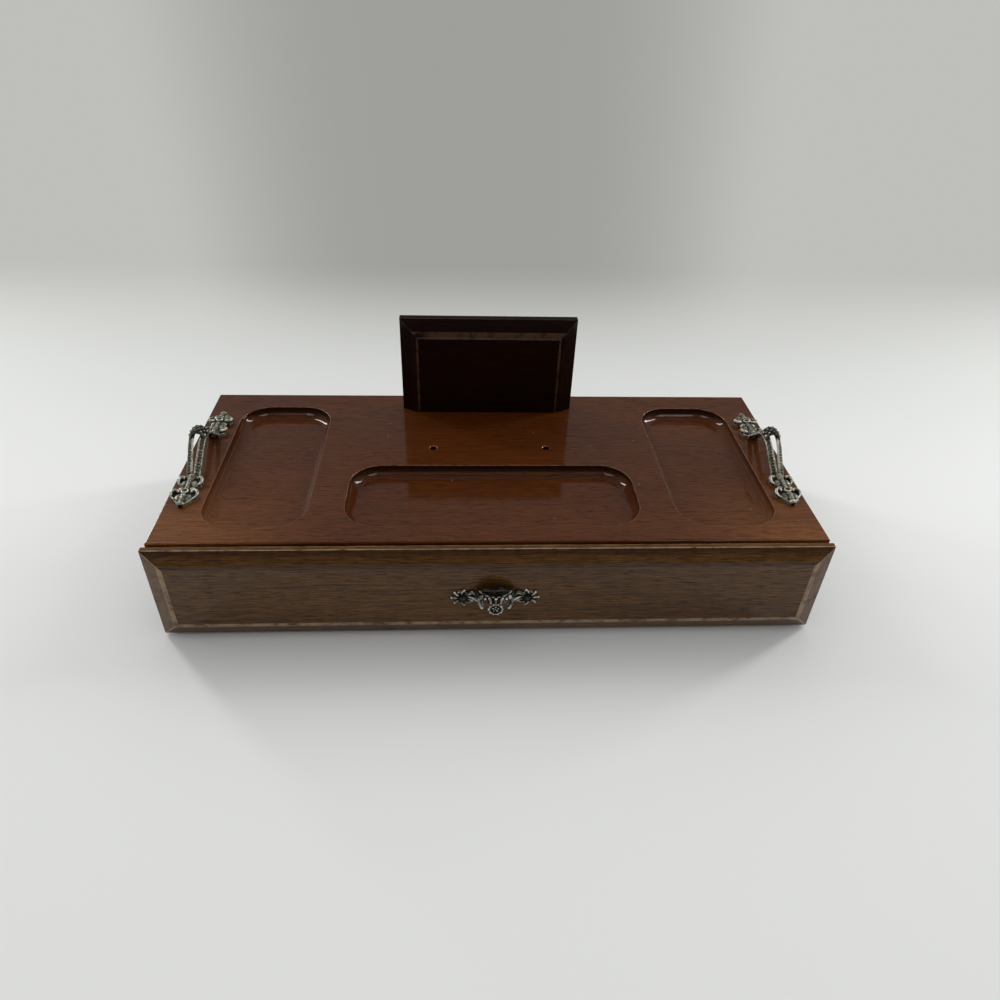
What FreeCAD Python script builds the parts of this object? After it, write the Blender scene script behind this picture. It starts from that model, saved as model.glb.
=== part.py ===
import FreeCAD, Part
import math
import os

from FreeCAD import Rotation, Vector

os.makedirs("parts", exist_ok=True)

# A valet box: a shallow wooden case with one drawer, three trays sunk in its top, an upright
# panel at the back, a cast handle at each end and a cast pull on the drawer.
# All sizes are in millimetres. X runs across the box, Y from front to back and Z up.
# The origin is the middle of the underside, on the table.

# Case boards
case_width = 330.0
case_depth = 143.5
case_height = 57.0
top_thickness = 12.0
top_ease = 0.9
side_thickness = 9.0
base_thickness = 5.0
back_thickness = 6.0
back_inset = 3.0
back_groove_depth = 3.0
felt_thickness = 1.5
felt_margin = 4.0
glue_gap = 0.05

# Trays sunk in the top
tray_depth = 6.0
tray_cove = 5.4
tray_lip = 0.4
side_tray_width = 52.0
side_tray_length = 116.5
side_tray_corner = 17.0
side_tray_margin = 19.5
side_tray_setback = 11.5
centre_tray_width = 150.5
centre_tray_length = 52.5
centre_tray_corner = 16.5
centre_tray_setback = 12.5

# Pair of holes in the top, for a fitting that the owner adds
fitting_hole_radius = 2.0
fitting_hole_spacing = 64.0
fitting_hole_setback = 82.7
fitting_hole_rim = 0.3

# Upright panel
upright_width = 102.0
upright_height = 58.0
upright_strip = 4.5
upright_bevel_depth = 5.0
upright_bevel_width = 8.3
upright_rear_margin = 11.5
upright_screw_spacing = 60.0
upright_screw_length = 30.0

# Drawer front, which laps over the edges of the case
front_overhang = 1.5
front_drop = 1.0
front_lift = 1.4
front_gap = 1.2
front_strip = 3.0
front_bevel_depth = 3.3
front_bevel_width = 8.25

# Drawer box behind the front
drawer_side_gap = 0.5
drawer_running_gap = 0.3
drawer_top_gap = 1.5
drawer_stop_gap = 0.3
drawer_side_thickness = 7.0
drawer_end_thickness = 6.0
drawer_rabbet = 3.5
drawer_bottom_thickness = 3.0
drawer_bottom_lift = 4.0
drawer_groove_depth = 3.0
drawer_panel_gap = 0.2
lining_thickness = 1.0
lining_gap = 0.5
front_screw_spacing = 200.0
front_screw_length = 10.0

# Fasteners
screw_radius = 1.6
screw_head_radius = 3.2
screw_head_depth = 1.8
screw_slot_width = 0.8
screw_slot_depth = 0.9
screw_point_length = 3.5
brad_radius = 0.7
brad_head_radius = 1.1
brad_head_depth = 0.8
brad_point_length = 1.8
base_brad_length = 18.0
drawer_brad_length = 14.0
drawer_brad_margin = 5.8
brad_end_margin = 16.0
base_side_brads = 4
base_rear_brads = 3
dowel_radius = 2.5
dowel_in_top = 8.0
dowel_in_side = 10.0
dowel_end_margin = 18.0
dowels_per_side = 3
pin_radius = 0.7
pin_head_radius = 1.3
pin_head_height = 0.6
pin_head_edge = 0.25
pin_crown_radius = 0.7
pin_point_length = 1.8
fit_gap = 0.05
overcut = 1.0

# Cast handle on each end of the top
handle_margin = 9.0
handle_setback = 72.7
handle_half_length = 45.8
handle_plate_thickness = 1.8
handle_pin_from_tip = 10.6
handle_pin_in_top = 9.0
tip_radius = 1.5
outer_curl_offset = 4.7
outer_curl_from_tip = 10.4
inner_curl_offset = 4.0
inner_curl_from_tip = 21.0
curl_radius = 2.3
curl_height = 2.7
curl_rounding = 0.8
curl_eye_radius = 1.1
curl_eye_depth = 1.3
boss_radius = 1.9
boss_flare = 0.9
boss_height = 4.0
boss_recess = 1.0
neck_half_width = 1.9
strand_width = 3.3
strand_thickness = 1.9
strand_tilt = 30.0
strand_root_from_tip = 24.5
strand_root_spread = 1.75
strand_root_height = 1.3
strand_top_spread = 3.25
strand_top_height = 14.6
strand_rise_angle = 38.0
collar_radius = 3.5
collar_thickness = 2.0
collar_length = 6.4
collar_height = 14.3
collar_bead_radius = 0.85
collar_bead_pitch = 1.7
collar_bead_rows = 4
collar_beads_across = 5
collar_bead_reach = 64.0

# Cast pull on the drawer front
pull_centre_height = 28.2
pull_pin_spacing = 31.8
pull_pin_in_front = 5.0
pull_plate_thickness = 1.6
leaf_length = 6.2
leaf_width = 2.5
leaf_hub_radius = 2.6
leaf_count = 7
leaf_fan_angle = 250.0
bow_projection = 8.0
bow_half_span = 10.6
bow_thickness = 3.3
bow_end_thickness = 2.0
bow_height = 4.8
bow_rise = 3.2
bow_rounding = 0.6
arm_height = 4.4
arm_rise = 1.6
lobe_offset = 6.9
lobe_radius = 1.5
lobe_half_height = 4.2
lobe_rise = 0.4
lobe_sink = 0.5
rosette_radius = 3.25
rosette_thickness = 1.4
rosette_drop = 2.0
rosette_eye_radius = 2.35
rosette_eye_depth = 0.5
rosette_heart_radius = 1.1
rosette_stem_half_width = 1.2
flute_count = 3
flute_foot_spacing = 2.2
flute_head_spacing = 3.1
flute_radius = 0.6

# Levels and edges that several pieces share
front_edge = -case_depth / 2
rear_edge = case_depth / 2
base_under = felt_thickness
base_top = base_under + base_thickness
top_under = case_height - top_thickness
inner_half_width = case_width / 2 - side_thickness
back_rear = rear_edge - back_inset
back_front = back_rear - back_thickness
upright_rear = rear_edge - upright_rear_margin
upright_thickness = upright_strip + upright_bevel_depth
upright_screw_y = upright_rear - upright_thickness / 2
front_width = case_width + 2 * front_overhang
front_bottom = front_lift
front_top = case_height - front_drop
front_thickness = front_strip + front_bevel_depth
front_back_face = front_edge - front_gap
front_field = front_back_face - front_thickness
drawer_half_width = inner_half_width - drawer_side_gap
drawer_inner_half_width = drawer_half_width - drawer_side_thickness
drawer_bottom_edge = base_top + drawer_running_gap
drawer_top_edge = top_under - drawer_top_gap
drawer_rear = back_front - drawer_stop_gap
drawer_inner_front_face = front_back_face + drawer_end_thickness
drawer_inner_back_face = drawer_rear - drawer_end_thickness
panel_under = drawer_bottom_edge + drawer_bottom_lift
panel_top = panel_under + drawer_bottom_thickness
handle_y = front_edge + handle_setback
handle_x = case_width / 2 - handle_margin
handle_pin_y = handle_half_length - handle_pin_from_tip
front_screw_height = (drawer_bottom_edge + drawer_top_edge) / 2


def spread(count):
    """Evenly spaced values from -1 to 1, for things that stand in a row."""
    return [2 * index / (count - 1) - 1 for index in range(count)]


def block(x0, x1, y0, y1, z0, z1):
    """A rectangular block between two values on each axis."""
    return Part.makeBox(x1 - x0, y1 - y0, z1 - z0, Vector(x0, y0, z0))


def turned(profile):
    """A solid turned about +Z from (radius, height) points that start and end on the axis."""
    points = [Vector(radius, 0, height) for radius, height in profile]
    points.append(points[0])
    face = Part.Face(Part.makePolygon(points))
    return face.revolve(Vector(0, 0, 0), Vector(0, 0, 1), 360)


def placed(shape, point, direction):
    """A copy of a shape whose +Z is turned to a direction and whose origin is put at a point."""
    copy = shape.copy()
    rotation = Rotation(Vector(0, 0, 1), direction)
    copy.Placement = FreeCAD.Placement(point, rotation).multiply(copy.Placement)
    return copy


def joined(shapes):
    """One clean solid from shapes that overlap."""
    whole = shapes[0].multiFuse(shapes[1:]).removeSplitter()
    return whole.Solids[0]


def mirrored_x(shape):
    """The shape reflected from one half of the box to the other."""
    return shape.mirror(Vector(0, 0, 0), Vector(1, 0, 0))


def export(name, shapes):
    """Write one node, as a single solid or as a group of separate ones."""
    solids = [solid for shape in shapes for solid in shape.Solids]
    node = solids[0] if len(solids) == 1 else Part.makeCompound(solids)
    node.exportStep("parts/" + name + ".step")


def screw(length, gap=0.0):
    """A countersunk wood screw: face of the head at the origin, point along +Z."""
    neck = screw_head_depth + gap
    profile = [
        (0, 0),
        (screw_head_radius + gap, 0),
        (screw_radius + gap, neck),
        (screw_radius + gap, length - screw_point_length),
        (0, length + gap),
    ]
    return turned(profile)


def slotted_screw(length):
    """The screw itself, with a driving slot across its head."""
    reach = screw_head_radius + overcut
    half = screw_slot_width / 2
    slot = block(-reach, reach, -half, half, -overcut, screw_slot_depth)
    return screw(length).cut(slot)


def brad(length, gap=0.0):
    """A thin nail: face of its small head at the origin, point along +Z."""
    profile = [
        (0, 0),
        (brad_head_radius + gap, 0),
        (brad_head_radius + gap, brad_head_depth),
        (brad_radius + gap, brad_head_depth + gap),
        (brad_radius + gap, length - brad_point_length),
        (0, length + gap),
    ]
    return turned(profile)


def pin(length, gap=0.0):
    """A round-headed pin: underside of its head at the origin, point along -Z, head along +Z."""
    profile = [
        (0, -length - gap),
        (pin_radius + gap, pin_point_length - length),
        (pin_radius + gap, 0),
        (pin_head_radius, 0),
        (pin_head_radius, pin_head_edge),
        (pin_crown_radius, pin_head_height),
        (0, pin_head_height),
    ]
    return turned(profile)


def pin_hole(length):
    """The round hole that a pin is driven into, from just above its mouth downwards."""
    radius = pin_radius + fit_gap
    depth = length + fit_gap + overcut
    return Part.makeCylinder(radius, depth, Vector(0, 0, overcut), Vector(0, 0, -1))


def rounded_rectangle(x0, x1, y0, y1, radius, z):
    """A flat wire of four straight sides joined by round corners."""
    diagonal = radius * (1 - math.sqrt(0.5))
    edges = []
    sides = [
        (Vector(x0 + radius, y0, z), Vector(x1 - radius, y0, z)),
        (Vector(x1, y0 + radius, z), Vector(x1, y1 - radius, z)),
        (Vector(x1 - radius, y1, z), Vector(x0 + radius, y1, z)),
        (Vector(x0, y1 - radius, z), Vector(x0, y0 + radius, z)),
    ]
    middles = [
        Vector(x1 - diagonal, y0 + diagonal, z),
        Vector(x1 - diagonal, y1 - diagonal, z),
        Vector(x0 + diagonal, y1 - diagonal, z),
        Vector(x0 + diagonal, y0 + diagonal, z),
    ]
    for index, (start, end) in enumerate(sides):
        following = sides[(index + 1) % len(sides)][0]
        edges.append(Part.LineSegment(start, end).toShape())
        edges.append(Part.Arc(end, middles[index], following).toShape())
    return Part.Wire(edges)


def tray_pocket(x0, x1, y0, y1, corner):
    """The space of one sunk tray: upright at the rim, with a cove round its flat floor."""
    outline = rounded_rectangle(x0, x1, y0, y1, corner, case_height)
    pocket = Part.Face(outline).extrude(Vector(0, 0, -tray_depth))
    floor_level = case_height - tray_depth
    floor_edges = [edge for edge in pocket.Edges if edge.BoundBox.ZMax < floor_level + 0.01]
    return pocket.makeFillet(min(tray_cove, tray_depth - tray_lip), floor_edges)


def tray_pockets():
    """The three sunk trays: a long one at each end and a wide one at the front."""
    outer = case_width / 2 - side_tray_margin
    front = front_edge + side_tray_setback
    right = tray_pocket(outer - side_tray_width, outer, front, front + side_tray_length, side_tray_corner)
    left = mirrored_x(right)
    half = centre_tray_width / 2
    front = front_edge + centre_tray_setback
    centre = tray_pocket(-half, half, front, front + centre_tray_length, centre_tray_corner)
    return [left, right, centre]


def fitting_holes():
    """Two holes right through the top, each with a small chamfer at its rim."""
    holes = []
    y = front_edge + fitting_hole_setback
    for side in (-1, 1):
        x = side * fitting_hole_spacing / 2
        profile = [
            (0, top_under - overcut),
            (fitting_hole_radius, top_under - overcut),
            (fitting_hole_radius, case_height - fitting_hole_rim),
            (fitting_hole_radius + fitting_hole_rim, case_height),
            (fitting_hole_radius + fitting_hole_rim, case_height + overcut),
            (0, case_height + overcut),
        ]
        holes.append(placed(turned(profile), Vector(x, y, 0), Vector(0, 0, 1)))
    return holes


def upright_screw_places():
    """Where the two screws enter the underside of the top."""
    return [Vector(side * upright_screw_spacing / 2, upright_screw_y, top_under) for side in (-1, 1)]


def handle_pin_places():
    """Where each handle's two pins enter the top, as (side, point)."""
    places = []
    for side in (-1, 1):
        for end in (-1, 1):
            places.append((side, Vector(side * handle_x, handle_y + end * handle_pin_y, case_height)))
    return places


def dowel_places():
    """Foot of each dowel that joins the top to a side: a row along each side."""
    x = case_width / 2 - side_thickness / 2
    reach = case_depth / 2 - dowel_end_margin
    places = []
    for side in (-1, 1):
        for step in spread(dowels_per_side):
            places.append(Vector(side * x, step * reach, top_under - dowel_in_side))
    return places


def dowel(gap=0.0):
    """A round wooden dowel that stands on its foot."""
    return Part.makeCylinder(dowel_radius + gap, dowel_in_side + dowel_in_top)


def base_brad_places():
    """Where the brads enter the underside of the base: along both sides and along the back."""
    places = []
    x = case_width / 2 - side_thickness / 2
    reach = case_depth / 2 - brad_end_margin
    for side in (-1, 1):
        for step in spread(base_side_brads):
            places.append(Vector(side * x, step * reach, base_under))
    y = (back_front + back_rear) / 2
    for step in spread(base_rear_brads):
        places.append(Vector(step * (inner_half_width - brad_end_margin) / 2, y, base_under))
    return places


def make_top_board():
    """The top: eased round its upper edges, with its trays, holes and sockets cut into it."""
    board = block(-case_width / 2, case_width / 2, front_edge, rear_edge, top_under, case_height)
    rim = [edge for edge in board.Edges if edge.BoundBox.ZMin > case_height - 0.01]
    board = board.makeFillet(top_ease, rim)
    cuts = tray_pockets() + fitting_holes()
    for point in upright_screw_places():
        cuts.append(placed(screw(upright_screw_length, fit_gap), point, Vector(0, 0, 1)))
    for side, point in handle_pin_places():
        cuts.append(placed(pin_hole(handle_pin_in_top), point, Vector(0, 0, 1)))
    for point in dowel_places():
        cuts.append(placed(dowel(fit_gap), point, Vector(0, 0, 1)))
    return board.cut(cuts)


def make_side(side):
    """One end board of the case, grooved near its rear edge for the back panel."""
    inner = side * inner_half_width
    outer = side * case_width / 2
    board = block(min(inner, outer), max(inner, outer), front_edge, rear_edge, base_top, top_under)
    groove_floor = inner + side * back_groove_depth
    groove = block(
        min(inner - side * overcut, groove_floor),
        max(inner - side * overcut, groove_floor),
        back_front - glue_gap,
        back_rear + glue_gap,
        base_top - overcut,
        top_under + overcut,
    )
    cuts = [groove]
    for point in dowel_places():
        cuts.append(placed(dowel(fit_gap), point, Vector(0, 0, 1)))
    for point in base_brad_places():
        cuts.append(placed(brad(base_brad_length, fit_gap), point, Vector(0, 0, 1)))
    return board.cut(cuts)


def make_back_panel():
    """The back of the case, held in a groove in each side and standing on the base."""
    half = inner_half_width + back_groove_depth - glue_gap
    panel = block(-half, half, back_front, back_rear, base_top, top_under)
    cuts = [placed(brad(base_brad_length, fit_gap), point, Vector(0, 0, 1)) for point in base_brad_places()]
    return panel.cut(cuts)


def make_base_board():
    """The floor of the case, under the sides and the back."""
    half = case_width / 2
    board = block(-half, half, front_edge, rear_edge, base_under, base_top)
    cuts = [placed(brad(base_brad_length, fit_gap), point, Vector(0, 0, 1)) for point in base_brad_places()]
    return board.cut(cuts)


def make_base_felt():
    """The felt sheet glued under the base, which the box rests on."""
    half = case_width / 2 - felt_margin
    return block(-half, half, front_edge + felt_margin, rear_edge - felt_margin, 0, felt_thickness)


def rectangle_wire(x_half, z0, z1, y):
    """An upright rectangle, centred on the middle of the box."""
    corners = [
        Vector(-x_half, y, z0),
        Vector(x_half, y, z0),
        Vector(x_half, y, z1),
        Vector(-x_half, y, z1),
        Vector(-x_half, y, z0),
    ]
    return Part.makePolygon(corners)


def raised_panel(x_half, z0, z1, rear, strip, bevel_depth, bevel_width, foot_bevel):
    """An upright panel: a flat strip at its edges, then bevels up to a raised field in front."""
    slab = block(-x_half, x_half, rear - strip, rear, z0, z1)
    outer = rectangle_wire(x_half, z0, z1, rear - strip)
    field_foot = z0 + bevel_width if foot_bevel else z0
    inner = rectangle_wire(x_half - bevel_width, field_foot, z1 - bevel_width, rear - strip - bevel_depth)
    bevels = Part.makeLoft([outer, inner], True, True)
    return joined([slab, bevels])


def make_upright_panel():
    """The upright at the back of the top, with bevels at its head and both sides."""
    foot = case_height
    head = case_height + upright_height
    panel = raised_panel(
        upright_width / 2,
        foot,
        head,
        upright_rear,
        upright_strip,
        upright_bevel_depth,
        upright_bevel_width,
        False,
    )
    cuts = [placed(screw(upright_screw_length, fit_gap), p, Vector(0, 0, 1)) for p in upright_screw_places()]
    return panel.cut(cuts)


def front_screw_places():
    """Where the two screws enter the drawer box from inside, on their way to the front."""
    return [
        Vector(side * front_screw_spacing / 2, drawer_inner_front_face, front_screw_height)
        for side in (-1, 1)
    ]


def pull_pin_places():
    """Where the pull's two pins enter the field of the drawer front."""
    return [Vector(side * pull_pin_spacing / 2, front_field, pull_centre_height) for side in (-1, 1)]


def make_drawer_front():
    """The drawer's face, bevelled on all four sides, which hides the front of the case."""
    panel = raised_panel(
        front_width / 2,
        front_bottom,
        front_top,
        front_back_face,
        front_strip,
        front_bevel_depth,
        front_bevel_width,
        True,
    )
    cuts = [placed(screw(front_screw_length, fit_gap), p, Vector(0, -1, 0)) for p in front_screw_places()]
    cuts += [placed(pin_hole(pull_pin_in_front), p, Vector(0, -1, 0)) for p in pull_pin_places()]
    return panel.cut(cuts)


def drawer_brad_places():
    """Where brads enter the drawer's sides, as (side, point): two at each corner."""
    places = []
    for side in (-1, 1):
        for y in (drawer_inner_front_face - drawer_end_thickness / 2, drawer_rear - drawer_end_thickness / 2):
            for z in (panel_top + drawer_brad_margin, drawer_top_edge - drawer_brad_margin):
                places.append((side, Vector(side * drawer_half_width, y, z)))
    return places


def drawer_brad_cuts():
    """The holes that the drawer's brads are driven into."""
    hole = brad(drawer_brad_length, fit_gap)
    return [placed(hole, point, Vector(-side, 0, 0)) for side, point in drawer_brad_places()]


def panel_space():
    """The groove round the inside of the drawer box, with the space of its bottom panel."""
    half = drawer_inner_half_width + drawer_groove_depth
    front = drawer_inner_front_face - drawer_groove_depth
    rear = drawer_inner_back_face + drawer_groove_depth
    return block(-half, half, front, rear, panel_under - glue_gap, panel_top + glue_gap)


def drawer_end_half_width():
    """Half the length of the drawer box's front and back boards, which lap into the sides."""
    return drawer_half_width - drawer_rabbet


def make_drawer_inner_front():
    """The front board of the drawer box, which the bevelled face is screwed to."""
    half = drawer_end_half_width()
    board = block(
        -half, half, front_back_face, drawer_inner_front_face, drawer_bottom_edge, drawer_top_edge
    )
    cuts = [panel_space()] + drawer_brad_cuts()
    cuts += [placed(screw(front_screw_length, fit_gap), p, Vector(0, -1, 0)) for p in front_screw_places()]
    return board.cut(cuts)


def make_drawer_back():
    """The rear board of the drawer box."""
    half = drawer_end_half_width()
    board = block(-half, half, drawer_inner_back_face, drawer_rear, drawer_bottom_edge, drawer_top_edge)
    return board.cut([panel_space()] + drawer_brad_cuts())


def make_drawer_side(side):
    """One side board of the drawer box, rabbeted at both ends and grooved for the bottom."""
    inner = side * drawer_inner_half_width
    outer = side * drawer_half_width
    walls = sorted([inner, outer])
    board = block(*walls, front_back_face, drawer_rear, drawer_bottom_edge, drawer_top_edge)
    lap = side * drawer_end_half_width()
    cuts = [panel_space()] + drawer_brad_cuts()
    rabbet_sides = sorted([inner - side * overcut, lap])
    rabbet_levels = [drawer_bottom_edge - overcut, drawer_top_edge + overcut]
    for y0, y1 in (
        (front_back_face - overcut, drawer_inner_front_face),
        (drawer_inner_back_face, drawer_rear + overcut),
    ):
        cuts.append(block(*rabbet_sides, y0, y1, *rabbet_levels))
    return board.cut(cuts)


def make_drawer_bottom():
    """The thin bottom panel, loose in the groove of the drawer box."""
    reach = drawer_groove_depth - drawer_panel_gap
    half = drawer_inner_half_width + reach
    front = drawer_inner_front_face - reach
    rear = drawer_inner_back_face + reach
    return block(-half, half, front, rear, panel_under, panel_top)


def make_drawer_lining():
    """The felt that lies on the drawer's bottom."""
    half = drawer_inner_half_width - lining_gap
    front = drawer_inner_front_face + lining_gap
    rear = drawer_inner_back_face - lining_gap
    return block(-half, half, front, rear, panel_top, panel_top + lining_thickness)


def curl(x, y):
    """One curled scroll of a handle, as (low rounded drum, space of its sunk eye)."""
    drum = Part.makeCylinder(curl_radius, curl_height, Vector(x, y, 0))
    rim = [edge for edge in drum.Edges if edge.BoundBox.ZMin > curl_height - 0.01]
    drum = drum.makeFillet(curl_rounding, rim)
    eye_floor = Vector(x, y, curl_height - curl_eye_depth)
    eye = Part.makeCylinder(curl_eye_radius, curl_eye_depth + overcut, eye_floor)
    return drum, eye


def handle_plate():
    """The front end plate of a handle, tip towards -Y, as (solids to join, spaces to cut)."""
    tip = -handle_half_length
    nail = tip + handle_pin_from_tip
    root = tip + strand_root_from_tip
    outline = [
        Vector(0, tip, 0),
        Vector(tip_radius, tip + tip_radius, 0),
        Vector(outer_curl_offset, tip + outer_curl_from_tip - curl_radius, 0),
        Vector(outer_curl_offset, tip + outer_curl_from_tip, 0),
        Vector(neck_half_width, (nail + root) / 2, 0),
        Vector(inner_curl_offset, tip + inner_curl_from_tip, 0),
        Vector(strand_root_spread + strand_width / 2, root + strand_thickness / 2, 0),
    ]
    other_half = [Vector(-point.x, point.y, 0) for point in reversed(outline[1:])]
    wire = Part.makePolygon(outline + other_half + [outline[0]])
    solids = [Part.Face(wire).extrude(Vector(0, 0, handle_plate_thickness))]
    spaces = []
    for side in (-1, 1):
        for offset, from_tip in (
            (outer_curl_offset, outer_curl_from_tip),
            (inner_curl_offset, inner_curl_from_tip),
        ):
            drum, eye = curl(side * offset, tip + from_tip)
            solids.append(drum)
            spaces.append(eye)
    solids.append(Part.makeSphere(tip_radius, Vector(0, tip + tip_radius, handle_plate_thickness / 2)))
    solids.append(Part.makeCone(boss_radius + boss_flare, boss_radius, boss_height, Vector(0, nail, 0)))
    seat = Vector(0, nail, boss_height - boss_recess)
    spaces.append(Part.makeCylinder(pin_head_radius + fit_gap, boss_recess + overcut, seat))
    below = Vector(0, nail, -overcut)
    spaces.append(Part.makeCylinder(pin_radius + fit_gap, boss_height + 2 * overcut, below))
    return solids, spaces


def strand(side):
    """One strand of a handle: straight up from the plate, then over in an arc to the collar."""
    root = Vector(side * strand_root_spread, strand_root_from_tip - handle_half_length, strand_root_height)
    top = Vector(side * strand_top_spread, 0, strand_top_height)
    along = Vector(top.x - root.x, top.y - root.y, 0)
    run = along.Length
    along.normalize()
    up = Vector(0, 0, 1)
    angle = math.radians(strand_rise_angle)
    climb = strand_top_height - strand_root_height
    bend = (run * math.tan(angle) - climb) / (1 / math.cos(angle) - 1)
    straight = run - bend * math.sin(angle)
    knee = root + along * straight + up * (straight * math.tan(angle))
    middle = top - along * (bend * math.sin(angle / 2)) - up * (bend * (1 - math.cos(angle / 2)))
    path = Part.Wire([Part.LineSegment(root, knee).toShape(), Part.Arc(knee, middle, top).toShape()])
    start = along * math.cos(angle) + up * math.sin(angle)
    across = along.cross(up) * side
    tilt = math.radians(strand_tilt)
    leaning = across * math.cos(tilt) - across.cross(start) * side * math.sin(tilt)
    section = Part.Wire(Part.Ellipse(Vector(0, 0, 0), strand_width / 2, strand_thickness / 2).toShape())
    section.Placement = FreeCAD.Placement(root, Rotation(leaning, Vector(), start, "ZXY"))
    return path.makePipeShell([section], True, False)


def collar():
    """The arched collar over the middle of a handle, set with rows of beads."""
    across = Part.Ellipse(Vector(0, 0, 0), collar_length / 2, collar_thickness / 2).toShape()
    section = Part.Wire(across)
    section.Placement = FreeCAD.Placement(
        Vector(collar_radius, 0, 0), Rotation(Vector(0, 1, 0), Vector(), Vector(0, 0, 1), "ZXY")
    )
    arch = Part.Face(section).revolve(Vector(0, 0, 0), Vector(0, -1, 0), 180)
    beads = []
    for row in spread(collar_bead_rows):
        y = row * (collar_bead_rows - 1) / 2 * collar_bead_pitch
        swell = collar_thickness / 2 * math.sqrt(1 - (2 * y / collar_length) ** 2)
        for step in spread(collar_beads_across):
            turn = math.radians(step * collar_bead_reach)
            reach = collar_radius + swell
            centre = Vector(reach * math.sin(turn), y, reach * math.cos(turn))
            beads.append(Part.makeSphere(collar_bead_radius, centre))
    whole = arch.multiFuse(beads)
    whole.translate(Vector(0, 0, collar_height))
    return whole


def make_handle(side):
    """One cast handle: a plate at each end, two pairs of strands and the collar between them."""
    plate, spaces = handle_plate()
    front_half = plate + [strand(-1), strand(1)]
    rear_half = [shape.mirror(Vector(0, 0, 0), Vector(0, 1, 0)) for shape in front_half]
    cuts = spaces + [shape.mirror(Vector(0, 0, 0), Vector(0, 1, 0)) for shape in spaces]
    reach = 2 * handle_half_length
    cuts.append(block(-reach, reach, -reach, reach, -reach, 0))
    casting = collar().multiFuse(front_half + rear_half).cut(cuts).Solids[0]
    casting.translate(Vector(side * handle_x, handle_y, case_height))
    return casting


def make_handle_pins(side):
    """The two pins of one handle, their heads down in the recesses of its bosses."""
    seat = boss_height - boss_recess
    pins = []
    for place_side, point in handle_pin_places():
        if place_side == side:
            pins.append(placed(pin(handle_pin_in_top + seat), point + Vector(0, 0, seat), Vector(0, 0, 1)))
    return pins


def ellipsoid(x_radius, y_radius, z_radius, centre):
    """A ball stretched along the three axes."""
    stretch = FreeCAD.Matrix()
    stretch.scale(x_radius, y_radius, z_radius)
    ball = Part.makeSphere(1.0).transformGeometry(stretch)
    ball.translate(centre)
    return ball


def leaf_plate():
    """The leaf at the right end of the pull, round its pin: fingers that fan outwards, face at +Z."""
    fingers = []
    for step in spread(leaf_count):
        ellipse = Part.Ellipse(Vector(0, 0, 0), leaf_length / 2, leaf_width / 2).toShape()
        finger = Part.Face(Part.Wire(ellipse)).extrude(Vector(0, 0, pull_plate_thickness))
        finger.translate(Vector(leaf_length / 2, 0, 0))
        finger.rotate(Vector(0, 0, 0), Vector(0, 0, 1), step * leaf_fan_angle / 2)
        fingers.append(finger)
    return Part.makeCylinder(leaf_hub_radius, pull_plate_thickness).multiFuse(fingers)


def bow_outer_radius():
    """Radius of the outer side of the bow, seen from above."""
    return (bow_half_span ** 2 + bow_projection ** 2) / (2 * bow_projection)


def bow():
    """The crescent that stands off the drawer between the two leaves, thickest in its middle."""
    inner_half_span = bow_half_span - bow_end_thickness
    inner_depth = bow_projection - bow_thickness
    inner_radius = (inner_half_span ** 2 + inner_depth ** 2) / (2 * inner_depth)
    foot = -bow_height / 2
    tall = bow_height
    outer_centre = Vector(0, bow_outer_radius() - bow_projection, foot)
    inner_centre = Vector(0, inner_radius - inner_depth, foot - overcut)
    outer = Part.makeCylinder(bow_outer_radius(), tall, outer_centre)
    inner = Part.makeCylinder(inner_radius, tall + 2 * overcut, inner_centre)
    reach = 2 * bow_outer_radius()
    behind = block(-reach, reach, 0, reach, -tall, tall)
    band = outer.cut([inner, behind])
    rims = [edge for edge in band.Edges if edge.Length > bow_half_span and edge.BoundBox.ZLength < 0.01]
    band = band.makeFillet(bow_rounding, rims)
    band.translate(Vector(0, 0, bow_rise))
    return band


def rosette():
    """The round flower under the middle of the bow, with flutes that fan up from it."""
    back = -bow_projection + rosette_thickness / 2
    z = -rosette_drop
    facing = Vector(0, -1, 0)
    disc = Part.makeCylinder(rosette_radius, rosette_thickness, Vector(0, back, z), facing)
    floor = Vector(0, back - rosette_thickness + rosette_eye_depth, z)
    eye = Part.makeCylinder(rosette_eye_radius, rosette_thickness, floor, facing)
    solids = [disc.cut(eye), Part.makeSphere(rosette_heart_radius, floor)]
    foot = z + rosette_radius - flute_radius
    head = bow_rise + bow_height / 2
    for step in spread(flute_count):
        offset = step * (flute_count - 1) / 2
        start = Vector(offset * flute_foot_spacing, -bow_projection, foot)
        end = Vector(offset * flute_head_spacing, -bow_projection, head)
        along = end - start
        solids.append(Part.makeCylinder(flute_radius, along.Length, start, along))
        solids.append(Part.makeSphere(flute_radius, end))
    half = rosette_stem_half_width
    solids.append(block(-half, half, -bow_projection, back, z, bow_rise))
    return solids


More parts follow.
